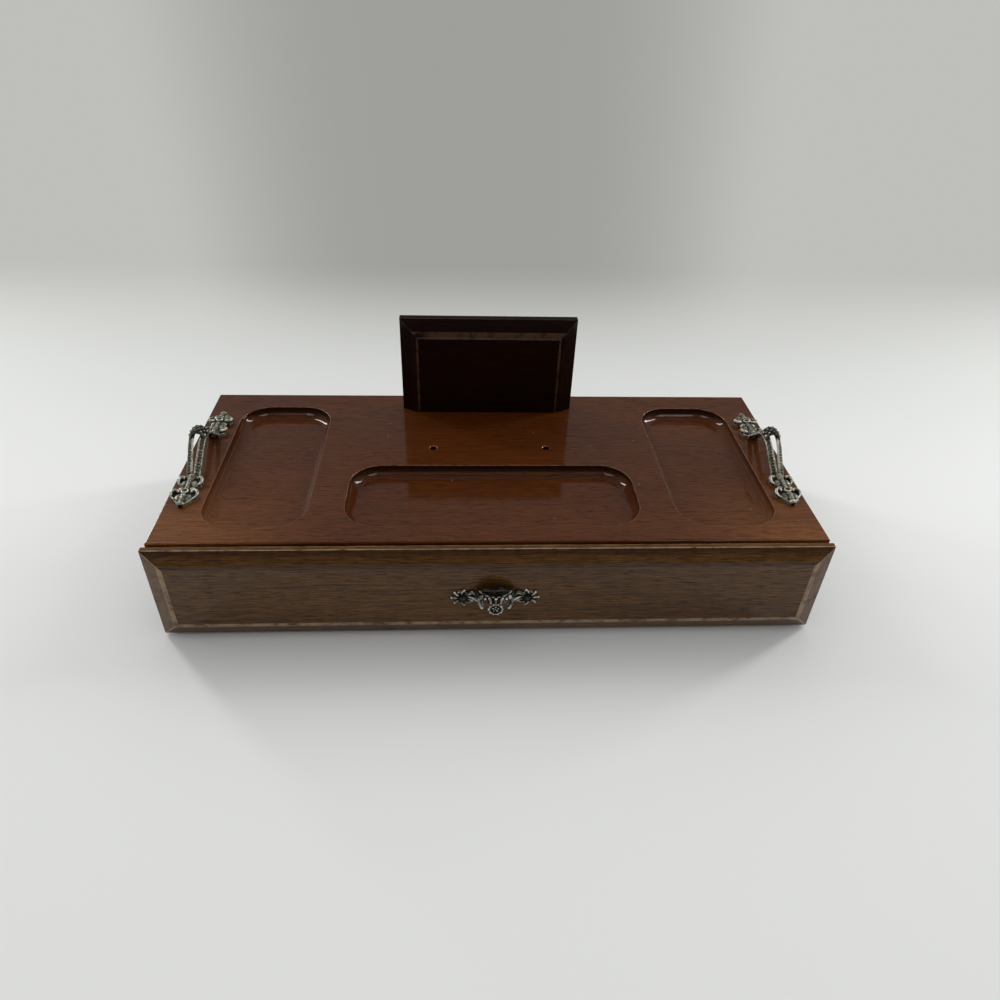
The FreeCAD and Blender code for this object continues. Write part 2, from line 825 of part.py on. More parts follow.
def make_pull():
    """The cast pull: two leaf plates, the bow between them, its lobes and the flower."""
    solids = rosette()
    cuts = []
    for side in (-1, 1):
        centre = Vector(side * pull_pin_spacing / 2, 0, 0)
        leaf = leaf_plate() if side > 0 else mirrored_x(leaf_plate())
        leaf.rotate(Vector(0, 0, 0), Vector(1, 0, 0), 90)
        leaf.translate(centre)
        solids.append(leaf)
        ends = sorted([centre.x, side * (bow_half_span - bow_end_thickness)])
        foot = arm_rise - arm_height / 2
        solids.append(block(ends[0], ends[1], -pull_plate_thickness, 0, foot, foot + arm_height))
        bow_radius = bow_outer_radius()
        bow_face = bow_radius - bow_projection - math.sqrt(bow_radius ** 2 - lobe_offset ** 2)
        lobe_centre = Vector(side * lobe_offset, bow_face + lobe_sink, lobe_rise)
        solids.append(ellipsoid(lobe_radius, lobe_radius, lobe_half_height, lobe_centre))
        behind = centre + Vector(0, overcut, 0)
        depth = pull_plate_thickness + 2 * overcut
        cuts.append(Part.makeCylinder(pin_radius + fit_gap, depth, behind, Vector(0, -1, 0)))
    reach = 4 * bow_half_span
    cuts.append(block(-reach, reach, 0, reach, -reach, reach))
    casting = bow().multiFuse(solids).cut(cuts).Solids[0]
    casting.translate(Vector(0, front_field, pull_centre_height))
    return casting


def make_pull_pins():
    """The two pins that hold the pull to the drawer front."""
    length = pull_pin_in_front + pull_plate_thickness
    outward = Vector(0, -pull_plate_thickness, 0)
    return [placed(pin(length), point + outward, Vector(0, -1, 0)) for point in pull_pin_places()]


export("top_board", [make_top_board()])
export("left_side", [make_side(-1)])
export("right_side", [make_side(1)])
export("back_panel", [make_back_panel()])
export("base_board", [make_base_board()])
export("base_felt", [make_base_felt()])
export("upright_panel", [make_upright_panel()])
up = Vector(0, 0, 1)
export("upright_screws", [placed(slotted_screw(upright_screw_length), p, up) for p in upright_screw_places()])
export("case_dowels", [placed(dowel(), point, up) for point in dowel_places()])
export("base_brads", [placed(brad(base_brad_length), point, up) for point in base_brad_places()])
export("left_handle", [make_handle(-1)])
export("right_handle", [make_handle(1)])
export("left_handle_pins", make_handle_pins(-1))
export("right_handle_pins", make_handle_pins(1))

export("drawer_front", [make_drawer_front()])
export("drawer_inner_front", [make_drawer_inner_front()])
export("drawer_left_side", [make_drawer_side(-1)])
export("drawer_right_side", [make_drawer_side(1)])
export("drawer_back", [make_drawer_back()])
export("drawer_bottom", [make_drawer_bottom()])
export("drawer_lining", [make_drawer_lining()])
forward = Vector(0, -1, 0)
export("front_screws", [placed(slotted_screw(front_screw_length), p, forward) for p in front_screw_places()])
drawer_brads = []
for drawer_side, entry in drawer_brad_places():
    drawer_brads.append(placed(brad(drawer_brad_length), entry, Vector(-drawer_side, 0, 0)))
export("drawer_brads", drawer_brads)
export("drawer_pull", [make_pull()])
export("pull_pins", make_pull_pins())
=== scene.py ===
"""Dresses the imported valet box: lacquered boards, aged castings, pins and felt, in a pale studio."""

import logging
import math
from collections.abc import Mapping, Sequence
from dataclasses import dataclass
from enum import Enum

import bmesh
import bpy
from bmesh.types import BMEdge, BMesh, BMVert
from bpy.types import Material, Mesh, Node, NodeSocket, Object
from mathutils import Matrix, Vector


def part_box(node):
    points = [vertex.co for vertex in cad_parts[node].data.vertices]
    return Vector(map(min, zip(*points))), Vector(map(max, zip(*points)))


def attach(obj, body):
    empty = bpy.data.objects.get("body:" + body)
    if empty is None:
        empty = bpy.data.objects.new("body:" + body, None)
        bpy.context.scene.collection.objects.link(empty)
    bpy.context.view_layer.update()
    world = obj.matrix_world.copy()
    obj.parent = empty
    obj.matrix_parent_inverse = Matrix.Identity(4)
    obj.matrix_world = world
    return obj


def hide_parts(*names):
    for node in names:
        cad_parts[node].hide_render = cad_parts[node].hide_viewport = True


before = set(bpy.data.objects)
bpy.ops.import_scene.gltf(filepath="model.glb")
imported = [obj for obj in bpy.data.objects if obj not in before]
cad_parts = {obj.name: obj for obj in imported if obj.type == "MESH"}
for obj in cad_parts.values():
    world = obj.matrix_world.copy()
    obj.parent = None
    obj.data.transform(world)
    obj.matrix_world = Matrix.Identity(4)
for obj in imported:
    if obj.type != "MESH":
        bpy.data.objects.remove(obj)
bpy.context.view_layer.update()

log = logging.getLogger("valet_box")
logging.basicConfig(level=logging.INFO, format="%(message)s")

MM = 0.001
Pair = tuple[float, float]
Colour = tuple[float, float, float]
Point = tuple[float, float, float]
Knot = tuple[float, float, float, float]


class Signal:
    """A number that varies over a surface. Sums written on it add Math nodes to its recipe."""

    def __init__(self, recipe: "Recipe", socket: NodeSocket) -> None:
        """Wraps a node's output socket."""
        self.recipe = recipe
        self.socket = socket

    def _sum(self, operation: str, *terms: "Signal | float") -> "Signal":
        """One Math node over the terms."""
        return self.recipe.number("ShaderNodeMath", {"operation": operation}, dict(enumerate(terms)))

    def __add__(self, other: "Signal | float") -> "Signal":
        """This number plus another."""
        return self._sum("ADD", self, other)

    __radd__ = __add__

    def __sub__(self, other: "Signal | float") -> "Signal":
        """This number less another."""
        return self._sum("SUBTRACT", self, other)

    def __rsub__(self, other: float) -> "Signal":
        """A plain number less this one."""
        return self._sum("SUBTRACT", other, self)

    def __mul__(self, other: "Signal | float") -> "Signal":
        """This number times another."""
        return self._sum("MULTIPLY", self, other)

    __rmul__ = __mul__

    def __truediv__(self, other: "Signal | float") -> "Signal":
        """This number over another."""
        return self._sum("DIVIDE", self, other)

    def between(self, low: float, high: float) -> "Signal":
        """A smooth step from 0 at low to 1 at high."""
        settings = {"interpolation_type": "SMOOTHSTEP"}
        return self.recipe.number("ShaderNodeMapRange", settings, {0: self, 1: low, 2: high})


class Recipe:
    """The node tree of one material or world, and the one method that adds a node to it."""

    def __init__(self, block: bpy.types.ID) -> None:
        """Clears the block's node tree.

        Args:
            block: The material or world to write.
        """
        block.use_nodes = True
        self.block = block
        self.tree = block.node_tree
        self.tree.nodes.clear()

    def node(
        self,
        kind: str,
        settings: Mapping[str, object] | None = None,
        sockets: Mapping[int | str, object] | None = None,
    ) -> Node:
        """Adds a node, makes its settings, then fills its sockets.

        Args:
            kind: The node's type.
            settings: The node's own properties; "stops" holds a ramp's (place, colour) pairs.
            sockets: A value, socket or Signal for each input, by index or name.

        Returns:
            The new node.
        """
        made = self.tree.nodes.new(kind)
        for key, value in (settings or {}).items():
            if key == "stops":
                self._set_stops(made.color_ramp, value)
            else:
                setattr(made, key, value)
        for key, value in (sockets or {}).items():
            entry = self._entry(made, key)
            if isinstance(value, Signal):
                value = value.socket
            if isinstance(value, NodeSocket):
                self.tree.links.new(value, entry)
            elif entry.type == "RGBA" and len(value) == 3:
                entry.default_value = (*value, 1.0)
            else:
                entry.default_value = value
        return made

    @staticmethod
    def _entry(made: Node, key: int | str) -> NodeSocket:
        """The input with this index, or the one in use with this name."""
        named = (entry for entry in made.inputs if entry.name == key and entry.enabled)
        return made.inputs[key] if isinstance(key, int) else next(named)

    @staticmethod
    def _set_stops(ramp: bpy.types.ColorRamp, stops: Sequence[tuple[float, Colour]]) -> None:
        """Gives a ramp its stops.

        Args:
            ramp: The ramp.
            stops: The place and colour of each, in order of place.
        """
        while len(ramp.elements) < len(stops):
            ramp.elements.new(1.0)
        for element, (place, colour) in zip(ramp.elements, stops):
            element.position = place
            element.color = (*colour, 1.0)

    def number(self, kind: str, settings: Mapping[str, object], sockets: Mapping) -> Signal:
        """A node whose first output is a number."""
        return Signal(self, self.node(kind, settings, sockets).outputs[0])

    def place(self) -> NodeSocket:
        """The point on the piece, in metres."""
        return self.node("ShaderNodeTexCoord").outputs["Object"]

    def stretched(self, place: NodeSocket, scale: Point, shift: Point = (0, 0, 0)) -> NodeSocket:
        """The point in a pattern of its own scale and start."""
        sockets = {"Vector": place, "Scale": scale, "Location": shift}
        return self.node("ShaderNodeMapping", {}, sockets).outputs[0]

    def vector(self, operation: str, *terms: NodeSocket | Point) -> Mapping[str, NodeSocket]:
        """The outputs of one Vector Math node over the terms."""
        return self.node("ShaderNodeVectorMath", {"operation": operation}, dict(enumerate(terms))).outputs

    def noise(self, place: NodeSocket, detail: float = 2.0, rough: float = 0.5, scale: float = 1.0) -> Signal:
        """Soft noise, about 0.5.

        Args:
            place: The point that it is read at.
            detail: How many finer layers it has.
            rough: How strong each finer layer is.
            scale: How many waves it has in one unit.

        Returns:
            The noise as a number.
        """
        sockets = {"Vector": place, "Scale": scale, "Detail": detail, "Roughness": rough}
        return self.number("ShaderNodeTexNoise", {}, sockets)

    def ramp(self, factor: Signal | NodeSocket, stops: Sequence[tuple[float, Colour]]) -> NodeSocket:
        """The colour that a number picks from a row of stops."""
        return self.node("ShaderNodeValToRGB", {"stops": stops}, {0: factor}).outputs[0]

    def blend(self, factor: Signal | float, first: object, second: object, way: str = "MIX") -> NodeSocket:
        """One colour laid over another.

        Args:
            factor: How much of the second colour shows.
            first: The colour or socket below.
            second: The colour or socket above.
            way: The blend type.

        Returns:
            The blended colour's socket.
        """
        settings = {"data_type": "RGBA", "blend_type": way, "clamp_factor": True}
        return self.node("ShaderNodeMix", settings, {"Factor": factor, "A": first, "B": second}).outputs[2]

    def wear(self, name: str) -> Signal:
        """A number that the mesh carries under this name."""
        node = self.node("ShaderNodeAttribute", {"attribute_type": "GEOMETRY", "attribute_name": name})
        return Signal(self, node.outputs["Fac"])

    def bump(self, height: Signal, depth: float, strength: float) -> NodeSocket:
        """A surface raised by a number, up to a depth in metres."""
        sockets = {"Height": height, "Distance": depth, "Strength": strength}
        return self.node("ShaderNodeBump", {}, sockets).outputs[0]

    def surface(self, sockets: Mapping[int | str, object]) -> Material:
        """Closes a material with its one shader.

        Args:
            sockets: The shader's inputs.

        Returns:
            The finished material.
        """
        shader = self.node("ShaderNodeBsdfPrincipled", {}, sockets)
        self.node("ShaderNodeOutputMaterial", {}, {"Surface": shader.outputs[0]})
        return self.block


class Grain(Enum):
    """The axis that a board's fibres follow."""

    ACROSS = 0
    DEPTH = 1
    UP = 2

    def scale(self, waves: Pair) -> Point:
        """Waves in a metre along the fibres and over them, as a scale for each axis."""
        return tuple(waves[0] if axis == self.value else waves[1] for axis in range(3))


@dataclass(frozen=True)
class WoodFinish:
    """Stained or plain wood, with its figure, streaks, fibres and pores, under lacquer or bare.

    Waves are counted in a metre, and a pair of them runs along the fibres and over them. A step is
    where a mask starts and where it is full. The painted shadow above the pull is placed in millimetres.
    The worn colour stands partly for wear and partly for painted highlight on edges that catch light.
    """

    name: str
    deep: Colour
    middle: Colour
    light: Colour
    worn: Colour
    grain: Grain = Grain.ACROSS
    shift: float = 0.0
    tones: Point = (0.22, 0.5, 0.8)
    figure: float = 0.6
    streaks: float = 1.1
    fibres: float = 1.2
    pores: float = 0.5
    wander: float = 0.0035
    wander_waves: float = 7.0
    figure_waves: Pair = (6, 30)
    streak_waves: Pair = (24, 2000)
    fibre_waves: Pair = (90, 3600)
    pore_waves: Pair = (130, 2400)
    pore_step: Pair = (0.55, 0.65)
    shade: float = 0.35
    painted_shade_share: float = 0.88
    painted_shade_step: Pair = (0.3, 0.7)
    rub_share: float = 0.8
    rub_waves: float = 160.0
    rub_step: Pair = (0.25, 0.6)
    dust: float = 0.0
    mote_waves: float = 190.0
    mote_step: Pair = (0.035, 0.07)
    mote_share: float = 0.7
    mote_colour: Colour = (0.42, 0.38, 0.34)
    corner_light: float = 0.0
    corner_light_gains: Point = (1.0, 1.6, 3.0)
    corner_light_aside: Pair = (0.003, 0.024)
    corner_light_ahead: Pair = (-0.01, 0.075)
    pull_shadow_at: Point | None = None
    pull_shadow_reach: Point = (10.5, 100.0, 5.8)
    pull_shadow_step: Pair = (0.35, 1.0)
    pull_shadow_share: float = 0.8
    pull_shadow_tone: float = 0.6
    gloss: float = 0.05
    coat: float = 1.0
    coat_roughness: float = 0.09
    coat_ior: float = 1.5
    roughness: float = 0.5
    relief: float = 0.00006
    relief_strength: float = 0.6

    def material(self) -> Material:
        """Writes the finish as a material.

        Returns:
            The material.
        """
        recipe = Recipe(bpy.data.materials.new(self.name))
        start = recipe.stretched(recipe.place(), (1, 1, 1), (self.shift,) * 3)
        bent = self._bend(recipe, start)
        figure = recipe.noise(recipe.stretched(bent, self.grain.scale(self.figure_waves)))
        streaks = recipe.noise(recipe.stretched(bent, self.grain.scale(self.streak_waves)), 3.0, 0.6)
        fibres = recipe.noise(recipe.stretched(bent, self.grain.scale(self.fibre_waves)), 2.0, 0.6)
        pores = recipe.noise(recipe.stretched(bent, self.grain.scale(self.pore_waves)), 1.0)
        pores = pores.between(*self.pore_step)
        tone = 0.5 + (figure - 0.5) * self.figure
        tone = tone + (streaks - 0.5) * self.streaks + (fibres - 0.5) * self.fibres
        colour = recipe.ramp(tone, list(zip(self.tones, (self.deep, self.middle, self.light))))
        shade = tuple(self.shade * channel for channel in self.deep)
        colour = recipe.blend(pores * self.pores, colour, shade)
        # Painted shade: tray walls, the top bevel's edge strip and the shoulder darken where shade falls.
        painted_shade = recipe.wear("painted_shade").between(*self.painted_shade_step)
        colour = recipe.blend(painted_shade * self.painted_shade_share, colour, shade)
        # Painted light: the two front corners come out brighter.
        if self.corner_light:
            colour = self._paint_corner_light(recipe, start, colour)
        # Painted shadow: the pull's shadow and dark reflection on the field.
        if self.pull_shadow_at:
            colour = self._paint_pull_shadow(recipe, colour)
        # Worn colour on the marked edges, rims and bevels: partly wear, partly painted highlight.
        rubbed = recipe.wear("wear") * recipe.noise(start, 3.0, 0.6, self.rub_waves).between(*self.rub_step)
        colour = recipe.blend(rubbed * self.rub_share, colour, self.worn)
        lacquer = self.coat - pores * (0.5 * self.coat)
        if self.dust:
            mote = self._motes(recipe, start)
            colour = recipe.blend(mote * self.mote_share, colour, self.mote_colour)
            lacquer = lacquer * (1 - mote)
        relief = (fibres - 0.5) * 0.5 + (streaks - 0.5) * 0.3 - pores
        return recipe.surface(
            {
                "Base Color": colour,
                "Roughness": self.roughness,
                "Specular IOR Level": self.gloss,
                "Coat Weight": lacquer,
                "Coat Roughness": self.coat_roughness,
                "Coat IOR": self.coat_ior,
                "Normal": recipe.bump(relief, self.relief, self.relief_strength),
            }
        )

    def _bend(self, recipe: Recipe, place: NodeSocket) -> NodeSocket:
        """Lets the fibres wander a little from straight.

        Args:
            recipe: The material.
            place: The point on the board.

        Returns:
            The point, moved a little.
        """
        sockets = {"Vector": place, "Scale": self.wander_waves, "Detail": 1.0}
        cloud = recipe.node("ShaderNodeTexNoise", {}, sockets).outputs["Color"]
        centred = recipe.vector("SUBTRACT", cloud, (0.5, 0.5, 0.5))[0]
        return recipe.vector("MULTIPLY_ADD", centred, (self.wander,) * 3, place)[0]

    def _motes(self, recipe: Recipe, place: NodeSocket) -> Signal:
        """Scatters specks of dust.

        Args:
            recipe: The material.
            place: The point on the board.

        Returns:
            How much dust lies there.
        """
        specks = recipe.node("ShaderNodeTexVoronoi", {}, {"Vector": place, "Scale": self.mote_waves}).outputs
        drawn = recipe.number("ShaderNodeSeparateColor", {}, {0: specks["Color"]})
        chosen = drawn.between(1 - self.dust, 1 - self.dust + 0.01)
        return (1 - Signal(recipe, specks["Distance"]).between(*self.mote_step)) * chosen

    def _paint_pull_shadow(self, recipe: Recipe, colour: NodeSocket) -> NodeSocket:
        """Paints a soft dark oval above the pull: its shadow and dark reflection on the field.

        Args:
            recipe: The material.
            colour: The stain's colour.

        Returns:
            The colour with the painted shadow on it.
        """
        scale = tuple(1 / (reach * MM) for reach in self.pull_shadow_reach)
        shift = tuple(-middle / reach for middle, reach in zip(self.pull_shadow_at, self.pull_shadow_reach))
        near = recipe.stretched(recipe.place(), scale, shift)
        away = Signal(recipe, recipe.vector("LENGTH", near)["Value"])
        pull_shadow = 1 - away.between(*self.pull_shadow_step)
        shade = tuple(self.pull_shadow_tone * channel for channel in self.deep)
        return recipe.blend(pull_shadow * self.pull_shadow_share, colour, shade)

    def _paint_corner_light(self, recipe: Recipe, place: NodeSocket, colour: NodeSocket) -> NodeSocket:
        """Paints light into the two front corners, brightening them as if more light fell there.

        Args:
            recipe: The material.
            place: The point on the board.
            colour: The stain's colour.

        Returns:
            The colour with the painted light.
        """
        way = recipe.node("ShaderNodeSeparateXYZ", {}, {0: place}).outputs
        across = Signal(recipe, way["X"])
        ahead = 0.0 - Signal(recipe, way["Y"])
        lit_corners = (across * across).between(*self.corner_light_aside) * ahead.between(*self.corner_light_ahead)
        brighter = tuple(1 + gain * self.corner_light for gain in self.corner_light_gains)
        return recipe.blend(1.0, colour, recipe.blend(lit_corners, (1.0, 1.0, 1.0), brighter), "MULTIPLY")


@dataclass(frozen=True)
class MetalFinish:
    """Metal with a dark skin in its hollows that is rubbed bright on what stands proud.

    Starts and ends bound the rub from dark to bright. Waves are counted in a metre.
    """

    name: str
    dark: Colour
    middle: Colour
    bright: Colour
    starts: float = 0.25
    ends: float = 0.9
    dull: float = 0.6
    polished: float = 0.3
    metallic: float = 0.75
    rubbed_metallic: float = 0.45
    mottled: float = 0.5
    clouded: float = 0.3
    mottle_waves: float = 1100.0
    cloud_waves: float = 200.0
    rub_waves: float = 1600.0
    carries_rub: bool = True
    relief: float = 0.00015
    relief_strength: float = 0.6

    def material(self) -> Material:
        """Writes the finish as a material.

        Returns:
            The material.
        """
        recipe = Recipe(bpy.data.materials.new(self.name))
        place = recipe.place()
        mottle = recipe.noise(place, 3.0, 0.65, self.mottle_waves)
        cloud = recipe.noise(place, 2.0, 0.5, self.cloud_waves)
        rub = recipe.wear("rub") if self.carries_rub else recipe.noise(place, 2.0, 0.5, self.rub_waves)
        rub = rub + (mottle - 0.5) * self.mottled + (cloud - 0.5) * self.clouded
        places = (self.starts, (self.starts + self.ends) / 2, self.ends)
        rubbed = rub.between(self.starts, self.ends)
        return recipe.surface(
            {
                "Base Color": recipe.ramp(rub, list(zip(places, (self.dark, self.middle, self.bright)))),
                "Metallic": self.metallic - rubbed * (self.metallic - self.rubbed_metallic),
                "Roughness": self.dull - rubbed * (self.dull - self.polished),
                "Normal": recipe.bump(mottle, self.relief, self.relief_strength),
            }
        )


@dataclass(frozen=True)
class FeltFinish:
    """Short felt: matted fibres, flecks and a soft sheen. Waves are counted in a metre."""

    name: str
    body: Colour
    fleck: Colour
    fibre_waves: float = 1500.0
    worn_waves: float = 60.0
    sheen: float = 0.35
    sheen_roughness: float = 0.5
    roughness: float = 0.95
    relief: float = 0.0005
    relief_strength: float = 0.7

    def material(self) -> Material:
        """Writes the finish as a material.

        Returns:
            The material.
        """
        recipe = Recipe(bpy.data.materials.new(self.name))
        place = recipe.place()
        matted = recipe.noise(place, 4.0, 0.7, self.fibre_waves)
        worn = recipe.noise(place, 3.0, 0.5, self.worn_waves)
        fleck = matted.between(0.5, 0.8) * 0.7 + worn.between(0.4, 0.8) * 0.3
        return recipe.surface(
            {
                "Base Color": recipe.blend(fleck, self.body, self.fleck),
                "Roughness": self.roughness,
                "Sheen Weight": self.sheen,
                "Sheen Roughness": self.sheen_roughness,
                "Normal": recipe.bump(matted + worn * 0.5, self.relief, self.relief_strength),
            }
        )


def link(piece: Object) -> Object:
    """Adds an object to the scene and returns it."""
    bpy.context.scene.collection.objects.link(piece)
    return piece


def baked(piece: Object) -> Mesh:
    """Applies what an object's modifiers or bevel make of it.

    Args:
        piece: The object, which is deleted.

    Returns:
        Its final mesh.
    """
    link(piece)
    graph = bpy.context.evaluated_depsgraph_get()
    mesh = bpy.data.meshes.new_from_object(piece.evaluated_get(graph))
    bpy.data.objects.remove(piece)
    return mesh


def shown(shape: BMesh, node: str, body: str, material: Material, crease: float = 180.0) -> Object:
    """Turns a finished shape in millimetres into the piece that stands for a node.

    Args:
        shape: The shape, which is freed.
        node: The node that the piece replaces.
        body: The body that it rides on.
        material: Its finish.
        crease: Angle in degrees over which an edge stays sharp.

    Returns:
        The piece.
    """
    bmesh.ops.scale(shape, vec=(MM, MM, MM), verts=shape.verts)
    for face in shape.faces:
        face.smooth = True
    mesh = bpy.data.meshes.new(f"{node}_dressed")
    shape.to_mesh(mesh)
    shape.free()
    if crease < 180:
        mesh.set_sharp_from_angle(angle=math.radians(crease))
    mesh.materials.append(material)
    piece = link(bpy.data.objects.new(f"{node}_dressed", mesh))
    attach(piece, body)
    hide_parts(node)
    log.info("%s: %d faces, on %s", piece.name, len(mesh.polygons), body)
    return piece


@dataclass
class Board:
    """One board of the box: its own shape with its long edges eased, as sandpaper leaves them.

    Sizes are in millimetres and angles in degrees. Wear is 1 where the wood is rubbed lighter in patches
    and 2 where it is lighter all over; the lighter colour is partly wear and partly painted highlight where
    edges catch the light. Faces are told apart by the parts of their normals.
    """

    node: str
    body: str
    slot: str
    material: Material
    ease: float = 0.4
    ease_steps: int = 3
    shoulder: float = 0.0
    shoulder_steps: int = 6
    shoulder_wear_and_highlight: float = 0.5
    shoulder_sides: float = 1.0
    shoulder_shade: float = 0.6
    flank_highlight: float = 0.0
    top_highlight_share: float = 0.2
    strip: float = 2.0
    strip_shade: float = 0.78
    rim: float = 0.28
    rim_steps: int = 2
    rim_highlight: float = 2.0
    hollow: float = 0.0
    hollow_margin: float = 3.0
    crease: float = 18.0
    smooth_under: float = 30.0
    smallest_outline: float = 15.0
    merged_under: float = 0.002
    flat_under: float = 0.5
    touch: float = 0.01
    faces_aside: float = 0.18
    faces_ahead: float = 0.8
    faces_up: float = 0.99
    least_tilt: float = 0.03
    bevel_tilt: float = 0.33

    def build(self) -> Object:
        """Copies the board, eases its edges and marks them lighter, as wear and painted highlight.

        Returns:
            The piece.
        """
        shape = bmesh.new()
        shape.from_mesh(bpy.data.objects[self.node].data)
        bmesh.ops.scale(shape, vec=(1 / MM,) * 3, verts=shape.verts)
        bmesh.ops.remove_doubles(shape, verts=shape.verts, dist=self.merged_under)
        flat = math.radians(self.flat_under)
        bmesh.ops.dissolve_limit(shape, angle_limit=flat, verts=shape.verts, edges=shape.edges)
        shape.loops.layers.float.new("wear")
        # The shoulder's rounding is marked lighter: partly wear, partly painted highlight where it catches
        # light.
        if self.shoulder:
            field = self._raised_edges(shape)
            self._round(
                shape, field, self.shoulder, self.shoulder_steps, self.shoulder_wear_and_highlight, self.shoulder_sides
            )
        rims = self._small_rims(shape)
        # Painted highlight: the small holes' chamfers and rounded rims are marked pale.
        self._paint_chamfer_highlight(shape, rims)
        self._round(shape, rims, self.rim, self.rim_steps, self.rim_highlight)
        # Eased edges are marked 1: lighter, partly wear and partly painted highlight where they catch light.
        self._round(shape, self._long_edges(shape), self.ease, self.ease_steps, 1.0)
        if self.hollow:
            self._paint_tray_shade(shape)
        if self.flank_highlight:
            self._paint_bevel_light_and_shade(shape)
        piece = shown(shape, self.node, self.body, self.material, self.smooth_under)
        piece.modifiers.new("even_shading", "WEIGHTED_NORMAL").keep_sharp = True
        return piece

    def _round(
        self, shape: BMesh, edges: list[BMEdge], width: float, steps: int, worn: float, sides: float = 1.0
    ) -> None:
        """Rounds edges over and marks the rounding lighter, partly as wear and partly as painted highlight.

        Args:
            shape: The board.
            edges: The edges, or none.
            width: How far the rounding reaches from each edge.
            steps: How many faces it is made of.
            worn: How much of that lighter colour it gets.
            sides: The share of that wear on what faces sideways.
        """
        if not edges:
            return
        wear = shape.loops.layers.float["wear"]
        rounded = bmesh.ops.bevel(
            shape,
            geom=edges,
            offset=width,
            segments=steps,
            profile=0.5,
            affect="EDGES",
            clamp_overlap=True,
            material=-1,
        )
        shape.normal_update()
        for face in rounded["faces"]:
            share = sides if abs(face.normal.x) > self.faces_aside else 1.0
            for corner in face.loops:
                corner[wear] = worn * share

    def _is_sharp(self, edge: BMEdge) -> bool:
        """Whether two faces meet at the edge at more than the crease angle."""
        return len(edge.link_faces) == 2 and edge.calc_face_angle() > math.radians(self.crease)

    def _outlines(self, shape: BMesh, small: bool) -> list[BMEdge]:
        """Finds the sharp outer edges, by the size of the outline that they belong to.

        Args:
            shape: The board.
            small: Whether the outlines round small holes and slots are wanted, or all the others.

        Returns:
            The edges of those outlines.
        """
        sharp = {edge for edge in shape.edges if self._is_sharp(edge) and edge.is_convex}
        wanted = []
        while sharp:
            outline, front = [], [sharp.pop()]
            while front:
                edge = front.pop()
                outline.append(edge)
                for end in edge.verts:
                    found = [other for other in end.link_edges if other in sharp]
                    sharp.difference_update(found)
                    front += found
            reach = [end.co for edge in outline for end in edge.verts]
            spans = [max(p[axis] for p in reach) - min(p[axis] for p in reach) for axis in range(3)]
            if (max(spans) < self.smallest_outline) == small:
                wanted += outline
        return wanted

    def _long_edges(self, shape: BMesh) -> list[BMEdge]:
        """Finds the sharp outer edges, less those round small holes and slots, or on a shoulder's field.

        Args:
            shape: The board.

        Returns:
            The edges.
        """
        chosen = self._outlines(shape, small=False)
        if self.shoulder:
            field = min(vert.co.y for vert in shape.verts) + self.touch
            chosen = [edge for edge in chosen if min(end.co.y for end in edge.verts) > field]
        return chosen

    def _small_rims(self, shape: BMesh) -> list[BMEdge]:
        """Finds the rims of small holes in the board's top.

        Args:
            shape: The board.

        Returns:
            The edges of the rims.
        """
        top = max(vert.co.z for vert in shape.verts) - self.touch
        small = self._outlines(shape, small=True)
        return [edge for edge in small if min(end.co.z for end in edge.verts) > top]

    def _paint_chamfer_highlight(self, shape: BMesh, rims: list[BMEdge]) -> None:
        """Marks the chamfers of small holes with a pale ring, a painted highlight, before their rims are
        rounded.

        Args:
            shape: The board.
            rims: The edges between its top and the chamfers.
        """
        wear = shape.loops.layers.float["wear"]
        shape.normal_update()
        chamfers = {face for edge in rims for face in edge.link_faces if face.normal.z < self.faces_up}
        for face in chamfers:
            for corner in face.loops:
                corner[wear] = self.rim_highlight

    def _raised_edges(self, shape: BMesh) -> list[BMEdge]:
        """Finds the long edges of the raised field in the board's front, less its foot.

        Args:
            shape: The board.

        Returns:
            The edges.
        """
        field = min(vert.co.y for vert in shape.verts) + self.touch
        foot = min(vert.co.z for vert in shape.verts) + self.touch
        return [
            edge for edge in shape.edges
            if self._is_sharp(edge)
            and max(end.co.y for end in edge.verts) < field
            and max(end.co.z for end in edge.verts) > foot
            and edge.calc_length() > self.smallest_outline
        ]

    def _paint_bevel_light_and_shade(self, shape: BMesh) -> None:
        """Paints light on the side bevels and a little on the top one; paints shade near the top bevel's edge
        and on the shoulder at the field.

        Args:
            shape: The board.
        """
        painted_shade = shape.loops.layers.float.new("painted_shade")
        wear = shape.loops.layers.float["wear"]
        outer = max(vert.co.z for vert in shape.verts) - self.strip
        shape.normal_update()
        for face in shape.faces:
            aside, up = abs(face.normal.x), face.normal.z
            if face.normal.y > -self.faces_ahead or max(aside, up) < self.least_tilt:
                continue
            bevel = max(aside, up) > self.bevel_tilt
            for corner in face.loops:
                # Side bevels get painted light; the top bevel a little painted light, with painted shade near
                # its top edge; the shoulder painted shade.
                if aside > up:
                    corner[wear] = max(corner[wear], self.flank_highlight if bevel else 0.0)
                elif bevel:
                    corner[wear] = self.top_highlight_share * self.flank_highlight
                    corner[painted_shade] = self.strip_shade if corner.vert.co.z > outer else 0.0
                else:
                    corner[wear] = 0.0
                    corner[painted_shade] = self.shoulder_shade

    def _paint_tray_shade(self, shape: BMesh) -> None:
        """Paints shade on the sunk trays' walls: more on steep walls, most on those facing front or back.

        Args:
            shape: The board.
        """
        painted_shade = shape.verts.layers.float.new("painted_shade")
        shape.normal_update()
        high = [max(vert.co[axis] for vert in shape.verts) for axis in range(3)]
        low = [min(vert.co[axis] for vert in shape.verts) for axis in range(3)]
        margin = self.hollow_margin
        for vert in shape.verts:
            inside = all(low[axis] + margin < vert.co[axis] < high[axis] - margin for axis in (0, 1))
            if inside and 0 < high[2] - vert.co.z < self.hollow:
                # Painted shade: walls facing front or back get up to twice as much as walls facing sideways.
                ahead = abs(vert.normal.y) / max(abs(vert.normal.x), abs(vert.normal.y), 0.001)
                vert[painted_shade] = (1 - abs(vert.normal.z)) * (0.5 + 0.5 * ahead)


